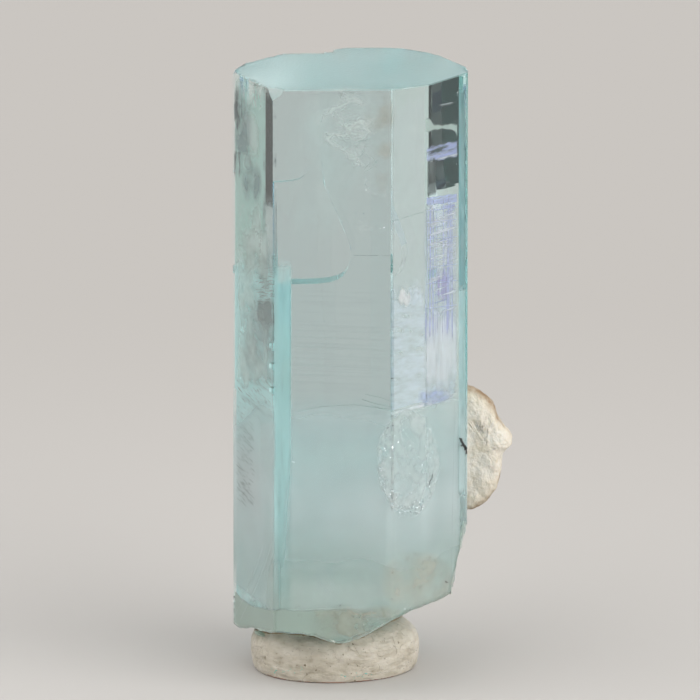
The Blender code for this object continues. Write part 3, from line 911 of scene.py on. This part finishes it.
def show_flakes(name, spots, seed):
    """Small, bent, irregular flakes. A spot is (across, up, depth, size)."""
    chance = random.Random(seed)
    points = []
    faces = []
    for across, up, depth, size in spots:
        place = under_skin(across, up, depth)
        if place is None:
            continue
        tilt = Vector([chance.gauss(0, 0.42) for _ in range(3)])
        out = (LIGHT_SIDE + tilt).normalized()
        side = out.cross(Vector((0.3, 0.2, 0.9))).normalized()
        other = out.cross(side)
        first = len(points)
        corners = chance.randint(5, 8)
        long_way = chance.uniform(1.0, 2.2)
        spin = chance.uniform(0, math.pi)
        points.append(place + out * size * 0.12 * MM)
        for k in range(corners):
            turn = 2 * math.pi * k / corners
            far = size * 0.5 * MM * chance.uniform(0.55, 1.0)
            a = far * math.cos(turn) * long_way
            b = far * math.sin(turn) / long_way
            a, b = a * math.cos(spin) - b * math.sin(spin), a * math.sin(spin) + b * math.cos(spin)
            points.append(place + side * a + other * b)
        for k in range(corners):
            faces.append((first, first + 1 + k, first + 1 + (k + 1) % corners))
    mesh = bpy.data.meshes.new(name)
    mesh.from_pydata(points, [], faces)
    show(name, mesh, flake_white)


def show_threads(name, lines, material, sides=6):
    """Thin closed tubes. A line is (places, radius), with one radius or a radius for each place."""
    bm = bmesh.new()
    for places, radius in lines:
        rings = []
        for index, place in enumerate(places):
            before = places[max(index - 1, 0)]
            after = places[min(index + 1, len(places) - 1)]
            along = (after - before).normalized()
            side = along.orthogonal().normalized()
            other = along.cross(side)
            thick = radius[index] if isinstance(radius, list) else radius
            thick *= MM if 0 < index < len(places) - 1 else 0.45 * MM
            ring = []
            for k in range(sides):
                turn = 2 * math.pi * k / sides
                offset = (side * math.cos(turn) + other * math.sin(turn)) * thick
                ring.append(bm.verts.new(place + offset))
            rings.append(ring)
        for lower, upper in zip(rings, rings[1:]):
            for k in range(sides):
                m = (k + 1) % sides
                bm.faces.new((lower[k], lower[m], upper[m], upper[k]))
        bm.faces.new(rings[0])
        bm.faces.new(rings[-1])
    bmesh.ops.recalc_face_normals(bm, faces=bm.faces)
    mesh = bpy.data.meshes.new(name)
    bm.to_mesh(mesh)
    bm.free()
    mesh.shade_smooth()
    show(name, mesh, material)


def skin_line(route, depth, radius, steps=8, wander=0.0, seed=0):
    """A thread under the skin through (across, up) places."""
    places = []
    for (a0, u0), (a1, u1) in zip(route, route[1:]):
        for k in range(steps):
            t = k / steps
            across = a0 + t * (a1 - a0)
            up = u0 + t * (u1 - u0)
            wave = wander * noise.noise(Vector((across, up, seed)) * 3)
            places.append(under_skin(across + wave, up, depth))
    places.append(under_skin(*route[-1], depth))
    return [place for place in places if place is not None], radius


# The oval feather: a rounded healed crack, rimmed with flakes on its left and lower sides.
FEATHER_CENTRE = (3.72, -7.2)
FEATHER_HALF = (1.95, 3.35)
FEATHER_SPREAD = (1.2, 1.15)      # the sheet's size over the feather's own
feather = veil_material("feather_veil", (0.95, 1.0, 0.99), 0.86, (1100, 1100, 800), 0.30, 0.66, 10)


def feather_cover(u, v):
    """Faint inside, with a bright rim that is widest at the left and the bottom."""
    x = (2 * u - 1) * FEATHER_SPREAD[0]
    y = (2 * v - 1) * FEATHER_SPREAD[1]
    bent = 0.09 * noise.noise(Vector((x * 2.2, y * 2.2, 5)))
    far = math.hypot(x, y) + bent
    side = max(0, (-0.75 * x - 0.65 * y) / max(far, 0.01))
    rim = smooth_step(0.55, 0.92, far) * (0.30 + 0.70 * side)
    return smooth_step(1.08, 0.97, far) * (0.42 + 0.58 * rim)


feather_edges = [
    FEATHER_CENTRE[axis] + FEATHER_HALF[axis] * FEATHER_SPREAD[axis] * side
    for axis in (0, 1)
    for side in (-1, 1)
]
veil("oval_feather", feather, *feather_edges, 0.30, feather_cover, 0.0, (50, 80))
chance = random.Random(11)
feather_flakes = []
while len(feather_flakes) < 340:
    turn = chance.uniform(0, 2 * math.pi)
    rim = 0.5 + 0.5 * math.cos(turn - math.radians(238))
    if chance.random() > 0.10 + 0.9 * rim ** 1.6:
        continue
    far = 1 - abs(chance.gauss(0, 0.13)) * (1 if rim > 0.4 else 2.5)
    across = FEATHER_CENTRE[0] + FEATHER_HALF[0] * far * math.cos(turn)
    up = FEATHER_CENTRE[1] + FEATHER_HALF[1] * far * math.sin(turn)
    size = chance.uniform(0.05, 0.15) * (1.5 if chance.random() < 0.12 else 1)
    feather_flakes.append((across, up, chance.uniform(0.10, 0.30), size))
for _ in range(140):
    across = FEATHER_CENTRE[0] + FEATHER_HALF[0] * 0.8 * chance.uniform(-1, 1)
    up = FEATHER_CENTRE[1] + FEATHER_HALF[1] * 0.8 * chance.uniform(-1, 1)
    feather_flakes.append((across, up, chance.uniform(0.12, 0.30), chance.uniform(0.03, 0.08)))
show_flakes("feather_flakes", feather_flakes, 3)

# Loose flakes: along the wispy veils, down the long edges and in the left face.
loose = []


def strew(across, up, spread_across, spread_up, count, low, high, depth=0.4):
    for _ in range(count):
        place = (across + chance.gauss(0, spread_across), up + chance.gauss(0, spread_up))
        loose.append((*place, depth * chance.uniform(0.4, 1.3), chance.uniform(low, high)))


for cluster in (
    (0.65, 8.5, 0.25, 0.20, 7, 0.04, 0.10),
    (2.1, 7.6, 0.15, 0.20, 6, 0.05, 0.12),
    (1.0, 10.5, 0.10, 0.30, 7, 0.04, 0.10),
    (0.6, 13.6, 0.50, 0.40, 26, 0.03, 0.09),
    (-3.9, 8.0, 0.25, 0.35, 14, 0.03, 0.07),
    (-3.6, -7.2, 0.06, 0.15, 4, 0.06, 0.14),
    (-6.0, -7.1, 0.06, 0.15, 4, 0.06, 0.14),
    (3.7, 2.7, 0.25, 0.35, 12, 0.04, 0.12),
    (6.80, 16.2, 0.04, 0.10, 5, 0.06, 0.14, 0.1),
    (6.82, 14.5, 0.04, 0.30, 7, 0.04, 0.10, 0.1),
    (6.75, 11.6, 0.06, 0.40, 8, 0.03, 0.08, 0.1),
    (-7.25, 14.0, 0.10, 2.20, 46, 0.03, 0.11, 0.2),
    (-6.6, 8.9, 0.35, 0.60, 22, 0.04, 0.11, 0.3),
    (-6.3, 16.6, 0.55, 0.30, 60, 0.03, 0.09, 0.1),
    (-4.85, 8.0, 0.05, 4.00, 40, 0.02, 0.06, 0.1),
    (-7.1, 5.0, 0.15, 1.20, 20, 0.03, 0.08, 0.2),
    (4.0, -16.5, 0.35, 0.18, 26, 0.04, 0.12, 0.2),
):
    strew(*cluster)
show_flakes("loose_flakes", loose, 5)

# Schorl: a branching sprig by the right-hand edge, a bent needle and a few grains.
schorl, _ = new_material("schorl", (0.018, 0.022, 0.022), 0.35)
needles = [
    skin_line(((6.98, -5.63), (7.22, -6.05), (7.46, -6.55)), 0.12, 0.075),
    skin_line(((7.02, -6.12), (7.20, -6.05)), 0.12, 0.055, 4),
    skin_line(((7.22, -6.05), (7.40, -6.32), (7.47, -6.6)), 0.10, 0.09),
    skin_line(((5.36, -7.88), (5.30, -8.20), (5.20, -8.32), (5.14, -8.60)), 0.3, 0.035, 4),
    skin_line(((-0.66, -16.22), (-0.62, -16.26)), 0.12, 0.09, 2),
    skin_line(((2.70, -1.82), (2.74, -1.86)), 0.2, 0.045, 2),
    skin_line(((2.66, -4.82), (2.70, -4.86)), 0.2, 0.04, 2),
    skin_line(((2.30, -5.05), (2.46, -4.93)), 0.3, 0.03, 3),
    skin_line(((2.66, -15.82), (2.70, -15.86)), 0.2, 0.04, 2),
    skin_line(((6.12, -14.72), (6.30, -14.80)), 0.2, 0.055, 3),
]
show_threads("schorl_needles", needles, schorl)

# Short grey threads, side by side and sloping down to the right, low in the left face.
thread_grey, shader = new_material("thread_grey", (0.34, 0.39, 0.38), 0.6)
shader.inputs["Alpha"].default_value = 0.5
chance = random.Random(23)
grey_threads = []
for _ in range(230):
    up = chance.uniform(-9.6, -1.6)
    right = -4.95 if up > -4.6 else -6.15
    across = chance.uniform(-7.3, right - 0.2)
    length = chance.uniform(0.12, 0.42)
    slope = chance.uniform(0.55, 1.1)
    end = (across + length * 0.75, up - length * slope)
    depth = chance.uniform(0.06, 0.18)
    radius = chance.uniform(0.008, 0.020)
    grey_threads.append(skin_line(((across, up), end), depth, radius, 3))
for _ in range(70):
    up = chance.uniform(2.6, 5.4)
    across = chance.uniform(-6.1, -5.1)
    end = (across + chance.uniform(0.2, 0.5), up - chance.uniform(-0.1, 0.12))
    depth = chance.uniform(0.1, 0.5)
    radius = chance.uniform(0.008, 0.02)
    grey_threads.append(skin_line(((across, up), end), depth, radius, 3))
grey_threads.append(skin_line(((0.12, 5.96), (1.10, 5.93), (1.75, 5.95)), 0.5, 0.013, 12, 0.05))
grey_threads.append(skin_line(((1.95, 5.92), (2.60, 5.94)), 0.5, 0.010, 12, 0.05))
show_threads("grey_threads", grey_threads, thread_grey, 5)

# Hair-thin growth tubes run up the right-hand face, and a few cross it.
UPRIGHT_TUBES = (5.05, 5.18, 5.32, 5.55, 6.42, 6.52, 6.25, 6.75)
TUBE_WEIGHTS = (0.9, 1.3, 0.8, 1.2, 1.4, 0.9, 0.6, 0.7)
tube_silver, _ = new_material("tube_silver", (0.72, 0.76, 1.0), 0.3)
chance = random.Random(31)
tubes = []
for across, weight in zip(UPRIGHT_TUBES, TUBE_WEIGHTS):
    top = chance.uniform(8.4, 9.9)
    foot = chance.uniform(1.2, 3.0)
    tubes.append(skin_line(((across, foot), (across + 0.03, top)), 0.25, 0.016 * weight, 24, 0.02, across))
for up in (8.95, 8.2, 7.1, 5.35, 4.3, 2.75):
    tubes.append(skin_line(((4.95, up - 0.12), (6.9, up + 0.12)), 0.22, 0.020, 16, 0.05, up))
show_threads("growth_tubes", tubes, tube_silver, 5)

# Two thin healed cracks bend down to the left across the foot of the left face.
pale_crack, shader = new_material("pale_crack", (0.88, 0.97, 0.96), 0.5)
shader.inputs["Alpha"].default_value = 0.75
cracks = []
for shift in (0.0, -0.55):
    route = ((-5.02, -12.34), (-5.41, -13.61), (-5.98, -15.07), (-6.68, -16.47), (-7.0, -17.17))
    route = tuple((across + shift, up + 0.35 * shift) for across, up in route)
    cracks.append(skin_line(route, 0.08, 0.016, 10, 0.03, shift))

# Hair cracks fan out through the wispy veil, and a few more lie in the left face.
chance = random.Random(71)


def hair_crack(across, up, turn, length, depth, radius, seed):
    end = (across + length * math.cos(turn), up + length * math.sin(turn))
    cracks.append(skin_line(((across, up), end), depth, radius, 6, 0.10, seed))


for _ in range(90):
    share = chance.random()
    across = -0.9 + 1.9 * share + chance.gauss(0, 0.35)
    up = 15.2 - 3.4 * share + chance.gauss(0, 0.45)
    turn = math.radians(chance.choice((-58, -40, 8, 35)) + chance.gauss(0, 14))
    length = chance.uniform(0.15, 0.75)
    depth = chance.uniform(0.3, 0.7)
    hair_crack(across, up, turn, length, depth, chance.uniform(0.004, 0.010), share)
for _ in range(60):
    across = chance.uniform(-7.2, -5.7)
    up = chance.choice((17.0, 13.4, 9.6, 8.6, 6.0)) + chance.gauss(0, 0.6)
    turn = math.radians(chance.gauss(80, 30))
    length = chance.uniform(0.15, 0.7)
    depth = chance.uniform(0.1, 0.25)
    hair_crack(across, up, turn, length, depth, chance.uniform(0.005, 0.012), across)
cracks = [line for line in cracks if len(line[0]) > 2]
show_threads("bent_cracks", cracks, pale_crack, 5)

# Where the milky part begins, a few fine greenish lines curve across the front face.
thread_green, shader = new_material("thread_green", (0.40, 0.56, 0.52), 0.6)
shader.inputs["Alpha"].default_value = 0.55
CLOUD_RIM = ((-3.4, -3.95), (-1.9, -3.62), (0.25, -3.5), (1.65, -3.7), (2.6, -3.9))
rims = [
    skin_line(CLOUD_RIM, 0.2, 0.012, 16, 0.05, 1),
    skin_line(((0.7, -3.15), (1.6, -3.45), (2.6, -3.62)), 0.2, 0.016, 14, 0.05, 2),
    skin_line(((0.9, -2.85), (1.8, -3.02), (2.6, -3.3)), 0.25, 0.012, 14, 0.05, 3),
    skin_line(((1.3, -3.55), (2.0, -3.75), (2.6, -3.72)), 0.2, 0.014, 12, 0.05, 4),
    skin_line(((2.72, 8.1), (3.8, 8.45), (4.8, 8.75)), 0.4, 0.014, 14, 0.06, 6),
]
show_threads("rim_lines", rims, thread_green, 5)


# --- Feldspar blade -----------------------------------------------------------------------------
# A small blade of cream-white feldspar grew on the prism's right-hand side. It is rough, with
# pearly cleavage steps, and its edges are stained brown by iron.

blade_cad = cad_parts["feldspar_blade"]
ROOT_HEADING = 110.6
root_turn = math.radians(ROOT_HEADING)
ROOT = Vector((math.sin(root_turn), -math.cos(root_turn), 0))
ROOT_LEVEL = 6.99 * MM            # what lies nearer to the prism's axis is the blade's root
ROOT_GROWTH = 0.33 * MM           # the root grows on, up to the prism's face
BLADE_MIDDLE = 2.1 * MM
BLADE_HALF_DEPTH = 1.15 * MM


def fine_blade():
    bm = bmesh.new()
    bm.from_mesh(blade_cad.data)
    bmesh.ops.remove_doubles(bm, verts=bm.verts, dist=1e-6)
    bmesh.ops.subdivide_edges(bm, edges=bm.edges, cuts=3, use_grid_fill=True, smooth=0.6)
    bm.normal_update()
    centre = sum((vert.co for vert in bm.verts), Vector()) / len(bm.verts)
    moves = {}
    for vert in bm.verts:
        place = vert.co
        if place.dot(ROOT) < ROOT_LEVEL:
            moves[vert] = -ROOT * ROOT_GROWTH
            continue
        rough = noise.fractal(place * 900, 0.75, 2.1, 4)
        ridge = abs(noise.noise(Vector((place.x, place.y * 0.4, place.z)) * 460 + Vector((3, 9, 2))))
        step = math.floor(5 * noise.noise(place * 380 + Vector((1, 5, 8)))) / 5
        depth = 0.10 + 0.075 * rough + 0.11 * step - 0.24 * max(0.16 - ridge, 0)
        moves[vert] = -vert.normal * max(depth, 0.0) * MM
    for vert, move in moves.items():
        vert.co += move
    edge = bm.verts.layers.float.new("edge")
    for vert in bm.verts:
        flat = Vector((vert.co.x - centre.x, vert.co.z - centre.z))
        reach = abs(vert.co.y - BLADE_MIDDLE) / BLADE_HALF_DEPTH
        free = smooth_step(7.1 * MM, 7.9 * MM, vert.co.dot(ROOT))
        vert[edge] = free * smooth_step(0.95, 0.30, reach) * smooth_step(1.2 * MM, 2.2 * MM, flat.length)
    mesh = bpy.data.meshes.new("feldspar_blade_fine")
    bm.to_mesh(mesh)
    bm.free()
    mesh.shade_smooth()
    return mesh


def tinted(tree, shader, amount, stops):
    """Colours the shader by an amount, through three (place, colour) stops."""
    tint = tree.nodes.new("ShaderNodeValToRGB")
    elements = tint.color_ramp.elements
    for element, (place, colour) in zip(elements, (stops[0], stops[2])):
        element.position = place
        element.color = (*colour, 1)
    place, colour = stops[1]
    elements.new(place).color = (*colour, 1)
    tree.links.new(amount, tint.inputs["Fac"])
    tree.links.new(tint.outputs["Color"], shader.inputs["Base Color"])


def let_light_in(shader, weight, radius, scale):
    """Lets light scatter a little way inside a pale, dense material."""
    shader.inputs["Subsurface Weight"].default_value = weight
    shader.inputs["Subsurface Radius"].default_value = radius
    shader.inputs["Subsurface Scale"].default_value = scale


feldspar, shader = new_material("feldspar", (0.8, 0.76, 0.68), 0.5)
tree = feldspar.node_tree
edge = tree.nodes.new("ShaderNodeAttribute")
edge.attribute_name = "edge"
patch = grain(tree, (900, 900, 900), 5)
speck = grain(tree, (2600, 2600, 2600), 3, (3, 1, 2))
amount = maths(tree, "MULTIPLY_ADD", edge.outputs["Fac"], 0.42, maths(tree, "MULTIPLY", patch, 0.62))
amount = maths(tree, "MULTIPLY_ADD", speck, 0.35, amount)
CREAM_TO_IRON = ((0.42, (0.69, 0.66, 0.59)), (0.66, (0.62, 0.565, 0.46)), (0.98, (0.26, 0.17, 0.09)))
tinted(tree, shader, amount, CREAM_TO_IRON)
bumped(tree, shader, grain(tree, (3600, 3600, 3600), 5), 0.12 * MM)
let_light_in(shader, 0.25, (0.9, 0.7, 0.5), 0.5 * MM)
show("feldspar", fine_blade(), feldspar, "feldspar_blade")


# --- Display putty ------------------------------------------------------------------------------
# A cream lump of reusable putty, pressed into a cushion under the broken end. It is satin, with
# finger smears, lint and specks stuck to it, and a painted brown shadow where it grips the crystal.

PUTTY_CENTRE = (-1.02 * MM, -0.05 * MM)
PUTTY_RADII = (5.40 * MM, 4.57 * MM)
PUTTY_WIDEST = 1.65 * MM
PUTTY_HEIGHT = 3.40 * MM
PUTTY_BASE_SHARE = 0.93
PUTTY_AROUND = 240
PUTTY_SIDE_STEPS = 34
PUTTY_TOP_STEPS = 44
PUTTY_GAP = 0.03 * MM             # between the putty and the broken end pressed into it


def putty_place(turn, share):
    wave = 1.0 + 0.018 * math.sin(2 * turn + 0.6) + 0.012 * math.sin(3 * turn + 2.0)
    x = PUTTY_CENTRE[0] + PUTTY_RADII[0] * share * wave * math.cos(turn)
    y = PUTTY_CENTRE[1] + PUTTY_RADII[1] * share * wave * math.sin(turn)
    return x, y


def crystal_foot(x, y):
    """Height of the crystal's broken end above a place, or None beside it."""
    hit, _, _, _ = prism_shape.ray_cast(Vector((x, y, 0)), Vector((0, 0, 1)))
    return hit.z if hit is not None else None


def putty_mesh():
    points = []
    pressed = []
    turns = [2 * math.pi * i / PUTTY_AROUND for i in range(PUTTY_AROUND)]
    for step in range(PUTTY_SIDE_STEPS):
        rise = step / (PUTTY_SIDE_STEPS - 1)
        share = PUTTY_BASE_SHARE + (1 - PUTTY_BASE_SHARE) * math.sqrt(1 - (1 - rise) ** 2)
        for turn in turns:
            x, y = putty_place(turn, share)
            points.append(Vector((x, y, PUTTY_WIDEST * rise)))
            pressed.append(0.0)
    for step in range(1, PUTTY_TOP_STEPS + 1):
        share = math.cos(0.5 * math.pi * step / (PUTTY_TOP_STEPS + 1)) ** 0.7
        for turn in turns:
            x, y = putty_place(turn, share)
            cushion = PUTTY_WIDEST + (PUTTY_HEIGHT - PUTTY_WIDEST) * math.sqrt(max(0, 1 - share ** 5))
            foot = crystal_foot(x, y)
            z = cushion
            grip = 0.0
            if foot is not None:
                z = min(cushion, foot - PUTTY_GAP)
                grip = smooth_step(0.25 * MM, 0.0, foot - z - PUTTY_GAP)
            points.append(Vector((x, y, z)))
            pressed.append(grip)
    rings = PUTTY_SIDE_STEPS + PUTTY_TOP_STEPS
    faces = ring_faces(rings, PUTTY_AROUND)
    faces.append(tuple(range(PUTTY_AROUND))[::-1])
    faces.append(tuple((rings - 1) * PUTTY_AROUND + i for i in range(PUTTY_AROUND)))
    shaped = []
    for place, grip in zip(points, pressed):
        out = Vector((place.x - PUTTY_CENTRE[0], place.y - PUTTY_CENTRE[1], 0)).normalized()
        lumps = 0.055 * noise.noise(place * 520) + 0.020 * noise.fractal(place * 1900, 0.8, 2.1, 3)
        dent = -0.10 * max(noise.noise(place * 300 + Vector((4, 4, 4))) - 0.25, 0)
        move = out * (lumps + dent - 0.05) * MM
        if place.z < 0.05 * MM:
            move.z = 0
        elif grip < 0.5:
            move.z = (lumps - 0.03) * MM * (1 - grip)
        else:
            move = Vector()
        shaped.append(place + move)
    mesh = bpy.data.meshes.new("display_putty_fine")
    mesh.from_pydata(shaped, [], faces)
    layer = mesh.attributes.new("pressed", "FLOAT", "POINT")
    layer.data.foreach_set("value", pressed)
    mesh.shade_smooth()
    return mesh


putty, shader = new_material("putty", (0.66, 0.62, 0.52), 0.38)
tree = putty.node_tree
pressed = tree.nodes.new("ShaderNodeAttribute")
pressed.attribute_name = "pressed"
smear = grain(tree, (500, 500, 1300), 5)
dirt = grain(tree, (3800, 3800, 3800), 2, (5, 2, 7))
amount = maths(tree, "MULTIPLY_ADD", grain(tree, (190, 190, 260), 3, (8, 1, 3)), 0.75, -0.36)
amount = maths(tree, "MULTIPLY_ADD", smear, 0.8, amount)
mottle = grain(tree, (1500, 1500, 1900), 4, (2, 6, 4))
amount = maths(tree, "ADD", amount, maths(tree, "MULTIPLY_ADD", mottle, 0.9, -0.42))
spots = soft_ramp(tree, dirt, 0.66, 0.76, 0, 0.55, "LINEAR")
amount = maths(tree, "ADD", amount, spots)
amount = maths(tree, "MULTIPLY_ADD", pressed.outputs["Fac"], 0.30, amount)
CREAM_TO_DIRT = ((0.25, (0.57, 0.53, 0.45)), (0.58, (0.46, 0.42, 0.34)), (1.0, (0.14, 0.11, 0.065)))
tinted(tree, shader, amount, CREAM_TO_DIRT)
gloss = maths(tree, "MULTIPLY_ADD", smear, 0.35, 0.20)
tree.links.new(gloss, shader.inputs["Roughness"])
fine = maths(tree, "MULTIPLY_ADD", grain(tree, (900, 900, 2200), 6), 1.6, maths(tree, "MULTIPLY", dirt, 0.3))
bumped(tree, shader, fine, 0.15 * MM)
let_light_in(shader, 0.15, (0.9, 0.7, 0.4), 0.4 * MM)
putty_piece = show("putty", putty_mesh(), putty, "display_putty")
putty_shape = BVHTree.FromPolygons(
    [vert.co for vert in putty_piece.data.vertices],
    [face.vertices for face in putty_piece.data.polygons],
)


def on_putty(across, up, lift):
    """A place on the putty's front, seen at (across, up)."""
    hit, normal, _, _ = putty_shape.ray_cast(camera.location, sight(across, up))
    return None if hit is None else hit + normal * lift * MM


# Lint fibres stuck to the putty.
lint, _ = new_material("lint", (0.26, 0.225, 0.17), 0.8)
chance = random.Random(47)
fibres = []
for _ in range(44):
    across = chance.uniform(-6.0, 4.0)
    up = chance.uniform(-20.8, -17.6)
    turn = chance.uniform(0, math.pi)
    bend = chance.uniform(-1.6, 1.6)
    length = chance.uniform(0.25, 0.9)
    places = []
    for k in range(9):
        t = k / 8 - 0.5
        angle = turn + bend * t
        reach = length * t
        place = on_putty(across + reach * math.cos(angle), up + reach * math.sin(angle), 0.01)
        if place is not None and place.z < 3.0 * MM:
            places.append(place)
    if len(places) > 3:
        fibres.append((places, chance.uniform(0.004, 0.009)))
show_threads("lint_fibres", fibres, lint, 5)

# A painted brown shadow runs along the crystal's lower edge, where it sits in the putty.
grip_shadow, _ = new_material("grip_shadow_line", (0.27, 0.21, 0.13), 0.7)
CONTACT_STEPS = 140
SCAN_STEPS = 59                   # steps down the picture while looking for an edge


def below_crystal(across):
    """The putty's place just below the crystal's lower edge, or None."""
    for tick in range(SCAN_STEPS + 1):
        up = -15.5 - 4.0 * tick / SCAN_STEPS
        first, _, _, _ = prism_shape.ray_cast(camera.location, sight(across, up))
        if first is None:
            return on_putty(across, up - 0.02, 0.0)
    return None


line = []
lines = []
for k in range(CONTACT_STEPS + 1):
    place = below_crystal(-6.2 + 9.6 * k / CONTACT_STEPS)
    if place is not None and place.z < 3.6 * MM:
        line.append(place)
    elif len(line) > 3:
        lines.append(line)
        line = []
if len(line) > 3:
    lines.append(line)
threads = []
for places in lines:
    for place in places:
        place += Vector((0, 0.03, 0.015)) * MM * (1 + 2 * noise.noise(place * 2500))
    sizes = [0.038 + 0.09 * noise.noise(place * 900) + 0.03 * noise.noise(place * 4000) for place in places]
    threads.append((places, [max(size, 0.012) for size in sizes]))
show_threads("grip_shadow_line", threads, grip_shadow, 8)

# Where the putty meets the table, a reddish-brown line along its edge is a painted shadow.
putty_rim_shadow, _ = new_material("putty_table_shadow", (0.26, 0.11, 0.07), 0.7)
RIM_SHADOW_STEPS = 80
line = []
for k in range(RIM_SHADOW_STEPS + 1):
    across = -5.3 + 8.2 * k / RIM_SHADOW_STEPS
    for tick in range(SCAN_STEPS + 1):
        place = on_putty(across, -22.4 + 2.4 * tick / SCAN_STEPS, -0.012)
        if place is not None:
            line.append(Vector((place.x, place.y, max(place.z, 0.05 * MM))))
            break
show_threads("putty_table_shadow", [(line, 0.030)], putty_rim_shadow)


def show_dust(name, count, spans, low, high, seed, material):
    """Small grains pressed into the putty."""
    chance = random.Random(seed)
    bm = bmesh.new()
    for _ in range(count):
        left, right, foot, top = chance.choice(spans)
        place = on_putty(chance.uniform(left, right), chance.uniform(foot, top), 0.005)
        if place is None:
            continue
        size = chance.uniform(low, high) * MM
        stretch = (size * chance.uniform(0.8, 2.4), size, size * chance.uniform(0.5, 1.0), 1)
        speck = Matrix.Translation(place) @ Matrix.Diagonal(stretch)
        bmesh.ops.create_icosphere(bm, subdivisions=1, radius=1, matrix=speck)
    mesh = bpy.data.meshes.new(name)
    bm.to_mesh(mesh)
    bm.free()
    show(name, mesh, material)


turquoise, _ = new_material("turquoise_dust", (0.10, 0.45, 0.40), 0.6)
dark_dust, _ = new_material("dark_dust", (0.10, 0.085, 0.06), 0.7)
TURQUOISE_SPANS = ((-0.6, 1.6, -20.9, -20.5), (-5.2, -3.0, -20.6, -20.1))
show_dust("turquoise_dust", 30, TURQUOISE_SPANS, 0.015, 0.04, 61, turquoise)
show_dust("dark_dust", 110, ((-6.2, 4.4, -20.9, -17.4),), 0.008, 0.024, 67, dark_dust)

# A small dark green splinter of the crystal is caught in the putty's left edge.
splinter_green, _ = new_material("splinter_green", (0.30, 0.36, 0.30), 0.4)
bm = bmesh.new()
bmesh.ops.create_icosphere(bm, subdivisions=2, radius=1)
for vert in bm.verts:
    cut = 1 + 0.35 * noise.noise(vert.co * 1.3 + Vector((2, 0, 5)))
    vert.co = Vector((vert.co.x * 0.36, vert.co.y * 0.22, vert.co.z * 0.15)) * MM * cut
bmesh.ops.rotate(bm, verts=bm.verts, matrix=Matrix.Rotation(math.radians(28), 3, "Y"))
bmesh.ops.translate(bm, verts=bm.verts, vec=Vector((-5.75, -2.75, 2.86)) * MM)
mesh = bpy.data.meshes.new("splinter")
bm.to_mesh(mesh)
bm.free()
show("splinter", mesh, splinter_green)
